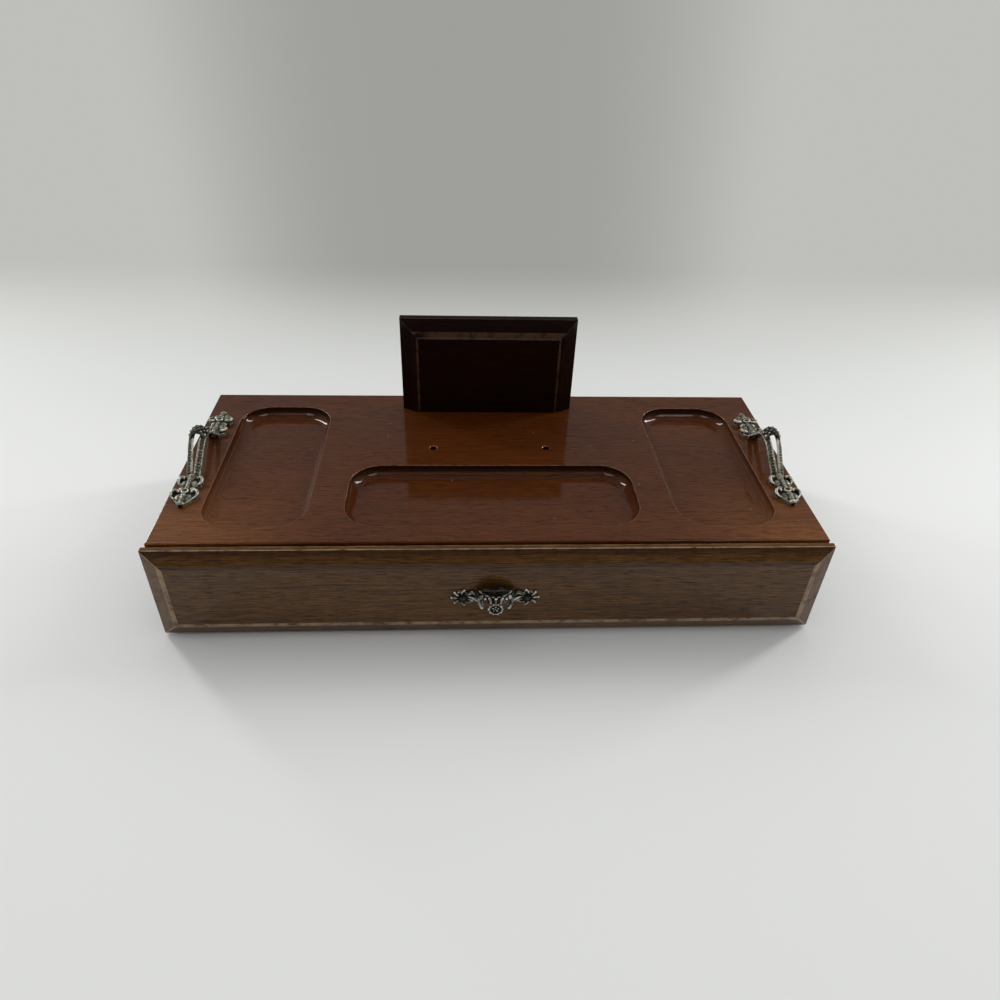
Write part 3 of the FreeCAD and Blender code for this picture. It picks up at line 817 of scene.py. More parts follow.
class Casting:
    """Collects the overlapping forms of one cast fitting, in millimetres, and fuses them into one skin."""

    def __init__(self, grain: float, smoothing: int = 2) -> None:
        """Starts an empty casting.

        Args:
            grain: Size of the cells that the forms are fused in.
            smoothing: How many times the skin is smoothed after that.
        """
        self.grain = grain
        self.smoothing = smoothing
        self.dirty: list[tuple[Vector, float, float]] = []
        self.solids = bmesh.new()
        self.rods = bpy.data.curves.new("rods", "CURVE")
        self.rods.dimensions = "3D"
        self.rods.bevel_depth = 1.0
        self.rods.bevel_resolution = 3
        self.rods.resolution_u = 5
        self.rods.use_fill_caps = True
        self.stand()

    def stand(self, flip: Point = (1, 1, 1), origin: Point = (0, 0, 0)) -> None:
        """Chooses the mirror image that is modelled next, and the point that it is measured from."""
        self.flip = Vector(flip)
        self.origin = origin

    def at(self, point: Sequence[float]) -> Vector:
        """The point on the side that is being modelled."""
        return Vector([part + start for part, start in zip(point, self.origin)]) * self.flip

    def rod(self, *knots: Knot) -> None:
        """A round rod that swells and thins along a smooth line.

        Args:
            knots: The points of the line, each with the rod's radius as its fourth number.
        """
        line = self.rods.splines.new("NURBS")
        line.points.add(len(knots) - 1)
        for knot, (*point, radius) in zip(line.points, knots):
            knot.co = (*self.at(point), 1.0)
            knot.radius = radius
        line.order_u = 3
        line.use_endpoint_u = True

    def ball(self, centre: Sequence[float], radii: Point | float) -> None:
        """A ball, or an egg where the radii differ.

        Args:
            centre: Its middle.
            radii: Its radius, or one for each axis.
        """
        size = (radii,) * 3 if isinstance(radii, (int, float)) else radii
        made = bmesh.ops.create_uvsphere(self.solids, u_segments=14, v_segments=9, radius=1.0)["verts"]
        bmesh.ops.scale(self.solids, vec=size, verts=made)
        bmesh.ops.translate(self.solids, vec=self.at(centre), verts=made)

    def cone(self, foot: Point, head: Point, foot_radius: float, head_radius: float) -> None:
        """A round drum or cone.

        Args:
            foot: The middle of one end.
            head: The middle of the other end.
            foot_radius: Radius at the foot.
            head_radius: Radius at the head.
        """
        start, end = self.at(foot), self.at(head)
        way = end - start
        turn = way.to_track_quat("Z", "Y").to_matrix().to_4x4()
        bmesh.ops.create_cone(
            self.solids,
            cap_ends=True,
            segments=28,
            radius1=foot_radius,
            radius2=head_radius,
            depth=way.length,
            matrix=Matrix.Translation((start + end) / 2) @ turn,
        )

    def ring(self, centre: Point, axis: Point, radius: float, thickness: float) -> None:
        """A round ring.

        Args:
            centre: Its middle.
            axis: The way it faces.
            radius: From its middle to the middle of its rim.
            thickness: Radius of its rim.
        """
        way = Vector(axis).normalized()
        out = way.orthogonal().normalized()
        middle = self.at(centre)
        turn = Matrix((out, way, out.cross(way))).transposed().to_4x4()
        made = bmesh.ops.create_circle(
            self.solids,
            cap_ends=False,
            segments=10,
            radius=thickness,
            matrix=Matrix.Translation(middle + out * radius) @ turn,
        )["verts"]
        edges = {edge for vert in made for edge in vert.link_edges}
        bmesh.ops.spin(
            self.solids,
            geom=list(made) + list(edges),
            cent=middle,
            axis=way,
            angle=2 * math.pi,
            steps=32,
            use_merge=True,
        )

    def slab(self, outline: Sequence[Point], thickness: Point) -> None:
        """A flat plate.

        Args:
            outline: The corners of one face.
            thickness: From that face to the other.
        """
        face = self.solids.faces.new([self.solids.verts.new(self.at(point)) for point in outline])
        grown = bmesh.ops.extrude_face_region(self.solids, geom=[face], use_keep_orig=True)["geom"]
        moved = [item for item in grown if isinstance(item, BMVert)]
        bmesh.ops.translate(self.solids, vec=Vector(thickness) * self.flip, verts=moved)

    def grime(self, centre: Point, radius: float, depth: float = 0.6) -> None:
        """Marks a place, as far as its radius, where fingers don't reach, and how much rub it loses."""
        self.dirty.append((self.at(centre), radius, depth))

    def fused(self) -> BMesh:
        """Fuses the forms, smooths the skin and marks how far each point stands proud.

        Returns:
            The casting's shape, with the vertex number "rub".
        """
        tubes = baked(bpy.data.objects.new("rods", self.rods))
        self.solids.from_mesh(tubes)
        bpy.data.meshes.remove(tubes)
        bpy.data.curves.remove(self.rods)
        bmesh.ops.recalc_face_normals(self.solids, faces=self.solids.faces)
        forms = bpy.data.meshes.new("forms")
        self.solids.to_mesh(forms)
        self.solids.free()
        rough = bpy.data.objects.new("forms", forms)
        fuse = rough.modifiers.new("fuse", "REMESH")
        fuse.mode = "VOXEL"
        fuse.voxel_size = self.grain
        skin = baked(rough)
        bpy.data.meshes.remove(forms)
        shape = bmesh.new()
        shape.from_mesh(skin)
        bpy.data.meshes.remove(skin)
        self._smooth(shape, self.smoothing)
        self._mark_rub(shape)
        return shape

    @staticmethod
    def _smooth(shape: BMesh, times: int) -> None:
        """Draws each point half way to its neighbours, a number of times."""
        axes = {"use_axis_x": True, "use_axis_y": True, "use_axis_z": True}
        for _ in range(times):
            bmesh.ops.smooth_vert(shape, verts=shape.verts, factor=0.5, **axes)

    def _mark_rub(self, shape: BMesh, passes: int = 16, level: float = 0.4, gain: float = 2.6) -> None:
        """Compares the skin with a smoother copy of itself, which lies under every proud form.

        Args:
            shape: The casting.
            passes: How far the copy is smoothed.
            level: Rub where the two lie together.
            gain: Rub for each millimetre that a point stands proud.
        """
        rub = shape.verts.layers.float.new("rub")
        shape.normal_update()
        kept = [(vert.co.copy(), vert.normal.copy()) for vert in shape.verts]
        self._smooth(shape, passes)
        for vert, (place, outward) in zip(shape.verts, kept):
            proud = (place - vert.co).dot(outward)
            vert[rub] = min(1.0, max(0.0, level + gain * proud - self._dulled(place)))
            vert.co = place
        shape.normal_update()

    def _dulled(self, place: Vector, starts: float = 0.8, ends: float = 1.2) -> float:
        """How much rub the grime takes away at a point.

        Args:
            place: The point.
            starts: The share of a grimy place's radius where its edge starts to fade.
            ends: The share where it ends.

        Returns:
            The most that any grimy place takes away.
        """
        lost = 0.0
        for centre, radius, depth in self.dirty:
            share = (ends - (place - centre).length / radius) / (ends - starts)
            lost = max(lost, depth * min(1.0, max(0.0, share)))
        return lost


def spread(count: int) -> list[float]:
    """Evenly spaced values from -1 to 1, for things that stand in a row."""
    return [2 * index / (count - 1) - 1 for index in range(count)]


def leaning(turn: float, reach: float) -> Pair:
    """How far an arm goes across and up, when it leans from upright by a turn in radians."""
    return reach * math.sin(turn), reach * math.cos(turn)


@dataclass
class Handle:
    """One cast handle: two leaf-scroll plates, two pairs of reeded strands and a beaded collar.

    Sizes are in millimetres, across, along and up. The plates are measured from their tips.
    """

    half_length: float = 45.8
    setback_y: float = 0.95
    offset: float = 156.0
    base: float = 57.0
    plate_thickness: float = 1.7
    plate_outline: tuple[Pair, ...] = (
        (1.0, 0.6), (2.4, 2.4), (4.8, 5.4), (6.5, 7.6), (6.8, 9.6), (6.0, 11.6), (4.2, 12.6), (2.5, 13.6),
        (2.5, 15.0), (4.0, 16.4), (5.7, 18.4), (6.2, 20.8), (5.4, 23.2), (3.6, 24.6), (3.2, 25.6),
    )
    nail_from_tip: float = 10.6
    boss_radius: float = 1.9
    boss_flare: float = 0.8
    seat_height: float = 3.0
    rim_radius: float = 1.525
    rim_height: float = 3.25
    rim_thickness: float = 0.45
    root_from_tip: float = 24.5
    root_spread: float = 1.75
    root_height: float = 1.3
    root_swell: float = 0.25
    top_spread: float = 3.25
    top_height: float = 14.6
    rise_angle: float = 38.0
    strand_tilt: float = 30.0
    straight_steps: int = 4
    bend_steps: int = 6
    reed_offset: float = 1.1
    reed_lift: float = 0.3
    reed_radius: float = 0.62
    middle_reed_share: float = 0.9
    web_radius: float = 0.7
    dots: int = 9
    first_dot: float = 1.0
    dot_pitch: float = 1.35
    dot_lift: float = 0.8
    dot_radius: float = 0.42
    collar_radius: float = 3.5
    collar_height: float = 14.3
    collar_half_length: float = 2.7
    collar_ribs: int = 5
    collar_rib: float = 0.95
    rib_reach: float = 3.57
    rib_knots: int = 10
    bead_radius: float = 0.72
    bead_stretch: float = 1.1
    bead_pitch: float = 1.7
    bead_rows: int = 4
    beads_across: int = 5
    bead_reach: float = 64.0
    bead_lift: float = 0.45
    bead_crown: float = 0.55
    crown_half_length: float = 3.4
    collar_dulled: float = 4.5
    cell: float = 0.26

    def build(self, material: Material) -> list[Object]:
        """Casts the handle once and sets a copy on each end of the top.

        Args:
            material: The finish of the casting.

        Returns:
            The left and right pieces.
        """
        casting = Casting(self.cell)
        tip = (0.0, -self.half_length, 0.0)
        for end in (1, -1):
            for side in (-1, 1):
                casting.stand((side, end, 1), tip)
                self._scrolls(casting)
                casting.stand((side, end, 1))
                self._strand(casting)
            casting.stand((1, end, 1), tip)
            self._plate(casting)
        casting.stand()
        self._collar(casting)
        shape = casting.fused()
        pieces = []
        for side, node in ((-1, "left_handle"), (1, "right_handle")):
            copy = shape.copy()
            place = Vector((side * self.offset, self.setback_y, self.base))
            bmesh.ops.translate(copy, vec=place, verts=copy.verts)
            pieces.append(shown(copy, node, "case", material))
        shape.free()
        return pieces

    def _plate(self, casting: Casting) -> None:
        """The middle of an end plate: its floor, solid muzzle, nail boss and spine.

        Args:
            casting: The handle's casting.
        """
        half = self.plate_outline
        outline = [(x, y, 0) for x, y in half] + [(-x, y, 0) for x, y in reversed(half)]
        casting.slab(outline, (0, 0, self.plate_thickness))
        casting.ball((0, 2.0, 1.4), (1.9, 1.9, 1.7))
        casting.rod((0, 2.2, 1.5, 1.5), (0, 4.6, 1.7, 1.7), (0, 7.6, 1.6, 2.2))
        nail, seat = self.nail_from_tip, self.seat_height
        casting.cone((0, nail, 0), (0, nail, seat), self.boss_radius + self.boss_flare, self.boss_radius)
        casting.ring((0, nail, self.rim_height), (0, 0, 1), self.rim_radius, self.rim_thickness)
        casting.rod((0, 12.2, 1.5, 1.6), (0, 15.5, 1.7, 1.6), (0, 19.5, 1.9, 1.9), (0, 24.6, 2.1, 2.1))
        casting.ball((0, 23.8, 1.6), (3.3, 2.6, 1.8))
        casting.grime((0, 0.0, 0.8), 1.3)
        casting.grime((0, nail, seat), 0.9)

    def _scrolls(self, casting: Casting) -> None:
        """The two curled scrolls on one side of an end plate, each round a small hollow.

        Args:
            casting: The handle's casting.
        """
        casting.rod(
            (1.6, 2.8, 1.6, 0.45), (3.8, 5.2, 1.6, 0.4), (6.0, 7.2, 1.9, 0.5), (6.6, 9.2, 2.5, 0.85),
            (5.8, 11.2, 2.9, 0.95), (4.0, 11.7, 2.8, 0.85), (3.0, 10.6, 2.3, 0.6),
        )
        casting.ball((2.3, 6.5, 1.3), (2.2, 3.2, 1.5))
        casting.ball((2.6, 13.6, 1.2), (1.9, 2.0, 1.5))
        casting.rod(
            (1.8, 15.6, 1.7, 0.55), (3.8, 17.2, 1.8, 0.5), (5.6, 18.7, 2.2, 0.7), (6.0, 20.8, 2.9, 0.95),
            (4.9, 22.8, 3.1, 1.0), (3.2, 22.7, 2.7, 0.8),
        )
        casting.ball((2.2, 18.2, 1.5), (2.1, 3.0, 1.6))
        casting.grime((4.9, 9.3, 1.7), 1.35)
        casting.grime((4.3, 20.4, 1.9), 1.25)

    def _strand(self, casting: Casting) -> None:
        """One strand: three reeds on a thin web, straight up and then over in an arc to the collar.

        Args:
            casting: The handle's casting.
        """
        root = Vector((self.root_spread, self.root_from_tip - self.half_length, self.root_height))
        top = Vector((self.top_spread, 0, self.top_height))
        up = Vector((0, 0, 1))
        along = Vector((top.x - root.x, top.y - root.y, 0))
        run = along.length
        along.normalize()
        across = along.cross(up)
        angle, tilt = math.radians(self.rise_angle), math.radians(self.strand_tilt)
        climb = along + up * math.tan(angle)
        bend = (run * math.tan(angle) - (top.z - root.z)) / (1 / math.cos(angle) - 1)
        straight = run - bend * math.sin(angle)
        turns = [angle * (1 - step / self.bend_steps) for step in range(self.bend_steps + 1)]
        steps = self.straight_steps
        places = [root + climb * (straight * step / steps) for step in range(steps)]
        for turn in turns:
            places.append(top - along * (bend * math.sin(turn)) - up * (bend * (1 - math.cos(turn))))
        slopes = [angle] * steps + turns
        normals = [up * math.cos(slope) - along * math.sin(slope) for slope in slopes]
        leans = [across * math.cos(tilt) - normal * math.sin(tilt) for normal in normals]
        for row, share in ((-1, 1.0), (0, self.middle_reed_share), (1, 1.0)):
            reed = []
            for index, (place, normal, lean) in enumerate(zip(places, normals, leans)):
                swell = 1 + self.root_swell * (1 - min(1.0, index / steps))
                middle = place + lean * (row * self.reed_offset) + normal * self.reed_lift
                reed.append((*middle, self.reed_radius * share * swell))
            casting.rod(*reed)
        for row in (-0.5, 0.5):
            between = row * self.reed_offset
            casting.rod(*[(*(place + lean * between), self.web_radius) for place, lean in zip(places, leans)])
            for dot in range(self.dots):
                place = root + climb * (self.first_dot + self.dot_pitch * dot)
                casting.ball(place + leans[0] * between + normals[0] * self.dot_lift, self.dot_radius)

    def _collar(self, casting: Casting) -> None:
        """The arched collar: ribs that run over it, and rows of beads between them.

        Args:
            casting: The handle's casting.
        """
        for row in spread(self.collar_ribs):
            arch = []
            for step in spread(self.rib_knots):
                x, rise = leaning(step * math.pi / 2, self.rib_reach)
                arch.append((x, row * self.collar_half_length, self.collar_height + rise, self.collar_rib))
            casting.rod(*arch)
        size = (self.bead_radius, self.bead_radius * self.bead_stretch, self.bead_radius)
        for index, row in enumerate(spread(self.bead_rows)):
            y = row * (self.bead_rows - 1) / 2 * self.bead_pitch
            crown = self.bead_crown * math.sqrt(1 - (y / self.crown_half_length) ** 2)
            reach = self.collar_radius + self.bead_lift + crown
            count = self.beads_across - index % 2
            for step in spread(count):
                turn = math.radians(step * self.bead_reach * (count - 1) / (self.beads_across - 1))
                x, rise = leaning(turn, reach)
                casting.ball((x, y, self.collar_height + rise), size)
        casting.grime((0, 0, self.collar_height + self.collar_radius), self.collar_dulled, 0.3)


@dataclass
class Pull:
    """The cast pull: a spray of leaf fingers round each pin, a crescent bow, lobes, flutes and a flower.

    Sizes are in millimetres, across, back and up from the middle of the pull on the drawer's field. A
    finger has a bearing, a reach and the angle that its end hooks by, in degrees. A knot of its line
    has a share of the reach, a height, a radius and a share of the hook.
    """

    field: float = -79.25
    centre_height: float = 28.2
    pin_offset: float = 15.9
    plate_thickness: float = 0.8
    plate_radii: Pair = (4.2, 3.9)
    boss_thickness: float = 1.5
    boss_radii: Pair = (1.75, 1.65)
    fingers: tuple[Point, ...] = (
        (-34, 5.3, -6), (0, 5.6, 0), (34, 5.3, 6), (72, 4.9, 26), (-72, 4.7, -26),
        (112, 4.7, 30), (152, 4.6, 24), (-112, 4.4, -30), (-150, 4.2, -24),
    )
    finger_line: tuple[Knot, ...] = (
        (0.12, 0.9, 0.4, 0.0), (0.5, 1.0, 0.45, 0.1), (0.82, 0.95, 0.55, 0.45), (1.0, 0.9, 0.5, 1.0),
    )
    finger_tip: float = 0.55
    arm_plate: tuple[float, ...] = (8.4, 14.6, -0.4, 3.4)
    arm_thickness: float = 1.1
    bow_projection: float = 8.0
    bow_half_span: float = 10.6
    bow_radius: float = 1.65
    bow_end_radius: float = 1.1
    bow_knots: int = 13
    bow_foot: float = 0.8
    bow_head: float = 5.6
    lip_front_inset: float = 0.9
    lip_end_inset: float = 1.4
    lip_setback: float = 0.4
    lip_back: float = 2.6
    lip_half_span: float = 8.2
    lip_top: float = 6.2
    lip_thickness: float = 1.1
    lip_points: int = 15
    lip_dulled: float = 2.5
    lip_loss: float = 0.04
    lip_loss_insets: Pair = (1.2, 3.0)
    flower_drop: float = 0.9
    flower_radius: float = 3.1
    flower_setback: float = 0.7
    flower_thickness: float = 0.8
    flower_points: int = 10
    point_reach: float = 3.45
    petals: int = 5
    petal_reach: float = 1.35
    flute_plate: Pair = (1.6, 3.0)
    cell: float = 0.2

    def build(self, material: Material) -> Object:
        """Casts the pull and sets it on the drawer front.

        Args:
            material: The finish of the casting.

        Returns:
            The piece.
        """
        casting = Casting(self.cell)
        for side in (-1, 1):
            casting.stand((side, 1, 1))
            self._spray(casting)
            self._arm(casting)
        casting.stand()
        self._bow(casting)
        self._lip(casting)
        self._flower(casting)
        shape = casting.fused()
        bmesh.ops.translate(shape, vec=(0, self.field, self.centre_height), verts=shape.verts)
        return shown(shape, "drawer_pull", "drawer", material)

    def _spray(self, casting: Casting) -> None:
        """The fingers and curls that fan out round one pin, on a thin plate.

        Args:
            casting: The pull's casting.
        """
        x = self.pin_offset
        casting.cone((x, 0, 0), (x, -self.plate_thickness, 0), *self.plate_radii)
        casting.cone((x, 0, 0), (x, -self.boss_thickness, 0), *self.boss_radii)
        for bearing, reach, hook in self.fingers:
            finger = []
            for share, height, radius, bend in self.finger_line:
                up, across = leaning(math.radians(bearing + hook * bend), share * reach)
                finger.append((x + across, -height, up, radius))
            casting.rod(*finger)
            casting.ball(finger[-1][:3], self.finger_tip)
        casting.grime((x, -1, 0), 2.6, 0.35)

    def _arm(self, casting: Casting) -> None:
        """What joins one spray to the bow: a plate, a hooked volute, a tendril, a curl and a lobe.

        Args:
            casting: The pull's casting.
        """
        near, far, foot, head = self.arm_plate
        plate = [(near, 0, foot), (far, 0, foot), (far, 0, head), (near, 0, head)]
        casting.slab(plate, (0, -self.arm_thickness, 0))
        casting.rod(
            (14.2, -1.0, 1.6, 0.6), (12.8, -1.1, 2.8, 0.75), (11.2, -1.3, 3.9, 0.95), (9.7, -1.5, 3.4, 0.95),
            (9.9, -1.5, 2.2, 0.75),
        )
        casting.rod(
            (14.0, -1.2, 1.2, 0.5), (12.2, -1.7, 1.2, 0.5), (9.6, -2.4, -0.1, 0.55), (8.0, -3.2, -0.6, 0.55)
        )
        casting.rod(
            (14.0, -0.9, -0.9, 0.55), (12.6, -1.0, -0.8, 0.7),
            (11.2, -1.0, -1.5, 0.8), (11.4, -0.9, -2.4, 0.6),
        )
        casting.ball((6.7, -5.9, 5.1), (1.2, 1.2, 1.1))
        casting.ball((5.2, -6.5, 4.7), (0.95, 0.9, 0.9))
        casting.rod(
            (7.0, -5.6, 4.6, 0.9), (7.9, -5.1, 3.2, 0.85), (7.9, -5.2, 1.2, 1.1), (7.1, -5.7, -0.8, 1.25),
            (6.4, -6.0, -2.4, 0.8),
        )
        casting.rod((6.6, -5.4, 3.6, 0.8), (6.3, -5.4, 1.6, 0.9), (6.4, -5.6, -0.4, 0.8))

    def _bow(self, casting: Casting) -> None:
        """The rounded crescent between the two arms, thickest in its middle.

        Args:
            casting: The pull's casting.
        """
        half_span = self.bow_half_span - self.bow_end_radius
        arc = self._arc(half_span, self.bow_projection - self.bow_radius, self.bow_knots)
        swell = self.bow_radius - self.bow_end_radius
        for level in (0.0, 0.5, 1.0):
            line = []
            for step, (x, y) in zip(spread(len(arc)), arc):
                thick = self.bow_end_radius + swell * math.cos(step * math.pi / 2)
                low, high = self.bow_foot + thick, self.bow_head - thick
                line.append((x, y, low + (high - low) * level, thick))
            casting.rod(*line)
        aside, ahead = self.lip_loss_insets
        for x, y in self._arc(self.bow_half_span - aside, self.bow_projection - ahead, self.lip_points):
            casting.grime((x, y - self.lip_setback, self.lip_top), self.lip_dulled, self.lip_loss)

    def _lip(self, casting: Casting) -> None:
        """The flat top of the bow, which reaches back towards the drawer.

        Args:
            casting: The pull's casting.
        """
        half_span = self.bow_half_span - self.lip_end_inset
        arc = self._arc(half_span, self.bow_projection - self.lip_front_inset, self.lip_points)
        under = self.lip_top - self.lip_thickness
        outline = [(x, y - self.lip_setback, under) for x, y in arc]
        outline += [(side * self.lip_half_span, -self.lip_back, under) for side in (1, -1)]
        casting.slab(outline, (0, 0, self.lip_thickness))

    @staticmethod
    def _arc(half_span: float, depth: float, steps: int) -> list[Pair]:
        """Points of a round arc that stands off the drawer's field.

        Args:
            half_span: Half of the width of the arc at its foot.
            depth: How far its middle stands off.
            steps: How many points it has.

        Returns:
            The points as (across, back) pairs, from left to right.
        """
        radius = (half_span ** 2 + depth ** 2) / (2 * depth)
        reach = math.asin(half_span / radius)
        turns = [reach * step for step in spread(steps)]
        return [(radius * math.sin(turn), radius - depth - radius * math.cos(turn)) for turn in turns]

    def _flower(self, casting: Casting) -> None:
        """The scalloped ring with its small flower, and the three flutes that fan up from it.

        Args:
            casting: The pull's casting.
        """
        z = -self.flower_drop
        back = self.flower_setback - self.bow_projection
        front = back - self.flower_thickness
        casting.cone((0, back, z), (0, front, z), self.flower_radius, self.flower_radius)
        face = front - 0.2
        casting.ring((0, face, z), (0, 1, 0), self.flower_radius, 0.4)
        for index in range(self.flower_points):
            x, rise = leaning(2 * math.pi * (index + 0.5) / self.flower_points, self.point_reach)
            casting.ball((x, face, z + rise), 0.45)
        for index in range(self.petals):
            x, rise = leaning(2 * math.pi * index / self.petals, self.petal_reach)
            casting.ball((x, face + 0.15, z + rise), (0.5, 0.4, 0.5))
        casting.ball((0, face + 0.1, z), 0.42)
        top = z + self.flower_radius
        casting.rod((0, -7.9, top - 0.3, 0.6), (0, -8.1, 4.0, 0.65), (0, -7.9, 6.2, 0.8))
        for side in (-1, 1):
            casting.stand((side, 1, 1))
            casting.rod(
                (2.1, -7.8, top - 0.7, 0.6), (2.3, -7.9, 3.2, 0.65),
                (2.8, -7.7, 5.2, 0.75), (3.4, -7.3, 6.0, 0.75),
            )
        casting.stand()
        half, head = self.flute_plate
        plate = [(-half, -6.5, z), (half, -6.5, z), (half, -6.5, head), (-half, -6.5, head)]
        casting.slab(plate, (0, -self.arm_thickness, 0))


@dataclass
class FeltSheet:
    """A sheet of felt that lies flat, a little uneven. Sizes in millimetres."""

    node: str
    body: str
    rests_on: str
    thickness: float
    unevenness: float = 0.12
    ripples: Point = (0.11, 0.17, 0.05)
    cell: float = 5.0

    def build(self, material: Material) -> Object:
        """Lays the sheet where its node lies.

        Args:
            material: The felt's finish.

        Returns:
            The piece.
        """
        low, high = (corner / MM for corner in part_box(self.node))
        size = high - low
        shape = bmesh.new()
        cells = [max(2, round(size[axis] / self.cell)) for axis in (0, 1)]
        bmesh.ops.create_grid(shape, x_segments=cells[0], y_segments=cells[1], size=0.5)
        bmesh.ops.scale(shape, vec=(size.x, size.y, 1), verts=shape.verts)
        middle = (low + high) / 2
        bmesh.ops.translate(shape, vec=(middle.x, middle.y, high.z - self.unevenness), verts=shape.verts)
        across, along, askew = self.ripples
        for vert in shape.verts:
            wave = math.sin(vert.co.x * across) + math.sin(vert.co.y * along + vert.co.x * askew)
            vert.co.z += 0.5 * self.unevenness * wave
        bmesh.ops.recalc_face_normals(shape, faces=shape.faces)
        bmesh.ops.solidify(shape, geom=shape.faces[:], thickness=self.thickness)
        bmesh.ops.recalc_face_normals(shape, faces=shape.faces)
        for vert in shape.verts:
            vert.co.z = max(low.z, vert.co.z)
        piece = shown(shape, self.node, self.body, material, 40.0)
        return piece


@dataclass
class Studio:
    """The camera at the photograph's viewing angle, the lamps, the pale floor and the surroundings.

    Sizes are in metres. A step is where a mask starts and where it is full. The room that gloss
    mirrors has its colours by height, from 0 at the level to 1 overhead.
    """

    camera_place: Point = (-0.018578, -0.347275, 0.288458)
    yaw: float = 0.0713
    pitch: float = 0.642
    roll: float = -0.0398
    lens: float = 27.0
    nearest: float = 0.01
    floor_drop: float = 0.0002
    floor_reach: float = 30.0
    floor_roughness: float = 0.8
    table: Colour = (0.725, 0.735, 0.72)
    table_far: Colour = (0.56, 0.57, 0.55)
    table_step: Pair = (0.0, 0.3)
    wall: Colour = (0.345, 0.345, 0.325)
    wall_side: Colour = (0.52, 0.52, 0.495)
    wall_step: Pair = (0.20, 0.48)
    wall_eye: float = 0.35
    wall_side_step: Pair = (0.0, 0.16)
    room: tuple[tuple[float, Colour], ...] = (
        (0.0, wall),
        (0.09, wall),
        (0.25, (0.12, 0.12, 0.12)),
        (0.42, (0.14, 0.14, 0.14)),
        (0.5, (0.22, 0.22, 0.215)),
        (0.64, (0.22, 0.22, 0.215)),
        (0.8, (0.1, 0.1, 0.1)),
        (1.0, (0.1, 0.1, 0.1)),
    )
    dark_room: Colour = (0.03, 0.03, 0.03)
    dark_step: Pair = (0.5, 1.0)
    window: Colour = (1.9, 1.9, 1.82)
    window_foot: Pair = (0.62, 0.68)
    window_head: Pair = (0.84, 0.9)
    window_ahead: Pair = (0.3, 0.4)
    window_aside: Pair = (0.03, 0.09)
    window_middle: float = 0.12
    mirrored_step: Pair = (-0.6, 0.3)
    low_light: float = 0.16
    high_light: float = 1.30
    front_share: float = 0.62
    front_step: Pair = (-0.7, 0.7)
    lamp_power: float = 4.4
    lamp_width: float = 0.13
    lamp_height: float = 0.95
    lamp_distance: float = 0.95
    lamp_middle: float = 0.52
    lamp_azimuths: Pair = (-52.0, 67.0)

    def build(self) -> None:
        """Sets up everything that isn't part of the box."""
        self._camera()
        self._floor()
        self._world()
        for azimuth in self.lamp_azimuths:
            self._lamp(azimuth)
        bpy.context.scene.view_settings.view_transform = "Standard"

    def _camera(self) -> None:
        """Places the camera."""
        ahead = Vector((math.sin(self.yaw), math.cos(self.yaw), 0)) * math.cos(self.pitch)
        forward = ahead - Vector((0, 0, math.sin(self.pitch)))
        level = Vector((math.cos(self.yaw), -math.sin(self.yaw), 0))
        down = forward.cross(level)
        right = level * math.cos(self.roll) + down * math.sin(self.roll)
        down = down * math.cos(self.roll) - level * math.sin(self.roll)
        data = bpy.data.cameras.new("camera")
        data.lens = self.lens
        data.clip_start = self.nearest
        camera = link(bpy.data.objects.new("camera", data))
        turn = Matrix((right, -down, -forward)).transposed().to_4x4()
        camera.matrix_world = Matrix.Translation(self.camera_place) @ turn
        bpy.context.scene.camera = camera

    def _floor(self) -> None:
        """A wide pale floor that turns to a greyer backdrop behind the box."""
        shape = bmesh.new()
        bmesh.ops.create_grid(shape, x_segments=8, y_segments=8, size=self.floor_reach)
        bmesh.ops.translate(shape, vec=(0, 0, -self.floor_drop), verts=shape.verts)
        mesh = bpy.data.meshes.new("floor")
        shape.to_mesh(mesh)
        shape.free()
        recipe = Recipe(bpy.data.materials.new("pale_floor"))
        place = recipe.node("ShaderNodeSeparateXYZ", {}, {0: recipe.place()}).outputs
        back = Signal(recipe, place["Y"])
        colour = recipe.blend(back.between(*self.table_step), self.table, self.table_far)
        sockets = {"Base Color": colour, "Roughness": self.floor_roughness}
        lit = recipe.node("ShaderNodeBsdfPrincipled", {}, sockets).outputs[0]
        rays = recipe.node("ShaderNodeLightPath").outputs
        glossy = Signal(recipe, rays["Is Glossy Ray"])
        seen = Signal(recipe, rays["Is Camera Ray"]) + glossy + Signal(recipe, rays["Is Transmission Ray"])
        # Painted backdrop: camera and glossy rays see a glow, darker behind the box's middle and paler to the
        # sides; glossy rays see the floor far in front painted dark.
        aside = Signal(recipe, place["X"]) / (back + self.wall_eye)
        shade = recipe.blend((aside * aside).between(*self.wall_side_step), self.wall, self.wall_side)
        ahead = (0.0 - back).between(*self.dark_step)
        shade = recipe.blend(ahead, shade, self.dark_room)
        painted = recipe.node("ShaderNodeEmission", {}, {"Color": shade, "Strength": 1.0}).outputs[0]
        masked = back.between(*self.wall_step) * seen + ahead * glossy
        mixed = recipe.node("ShaderNodeMixShader", {}, {0: masked, 1: lit, 2: painted}).outputs[0]
        recipe.node("ShaderNodeOutputMaterial", {}, {"Surface": mixed})
        mesh.materials.append(recipe.block)
        link(bpy.data.objects.new("floor", mesh))

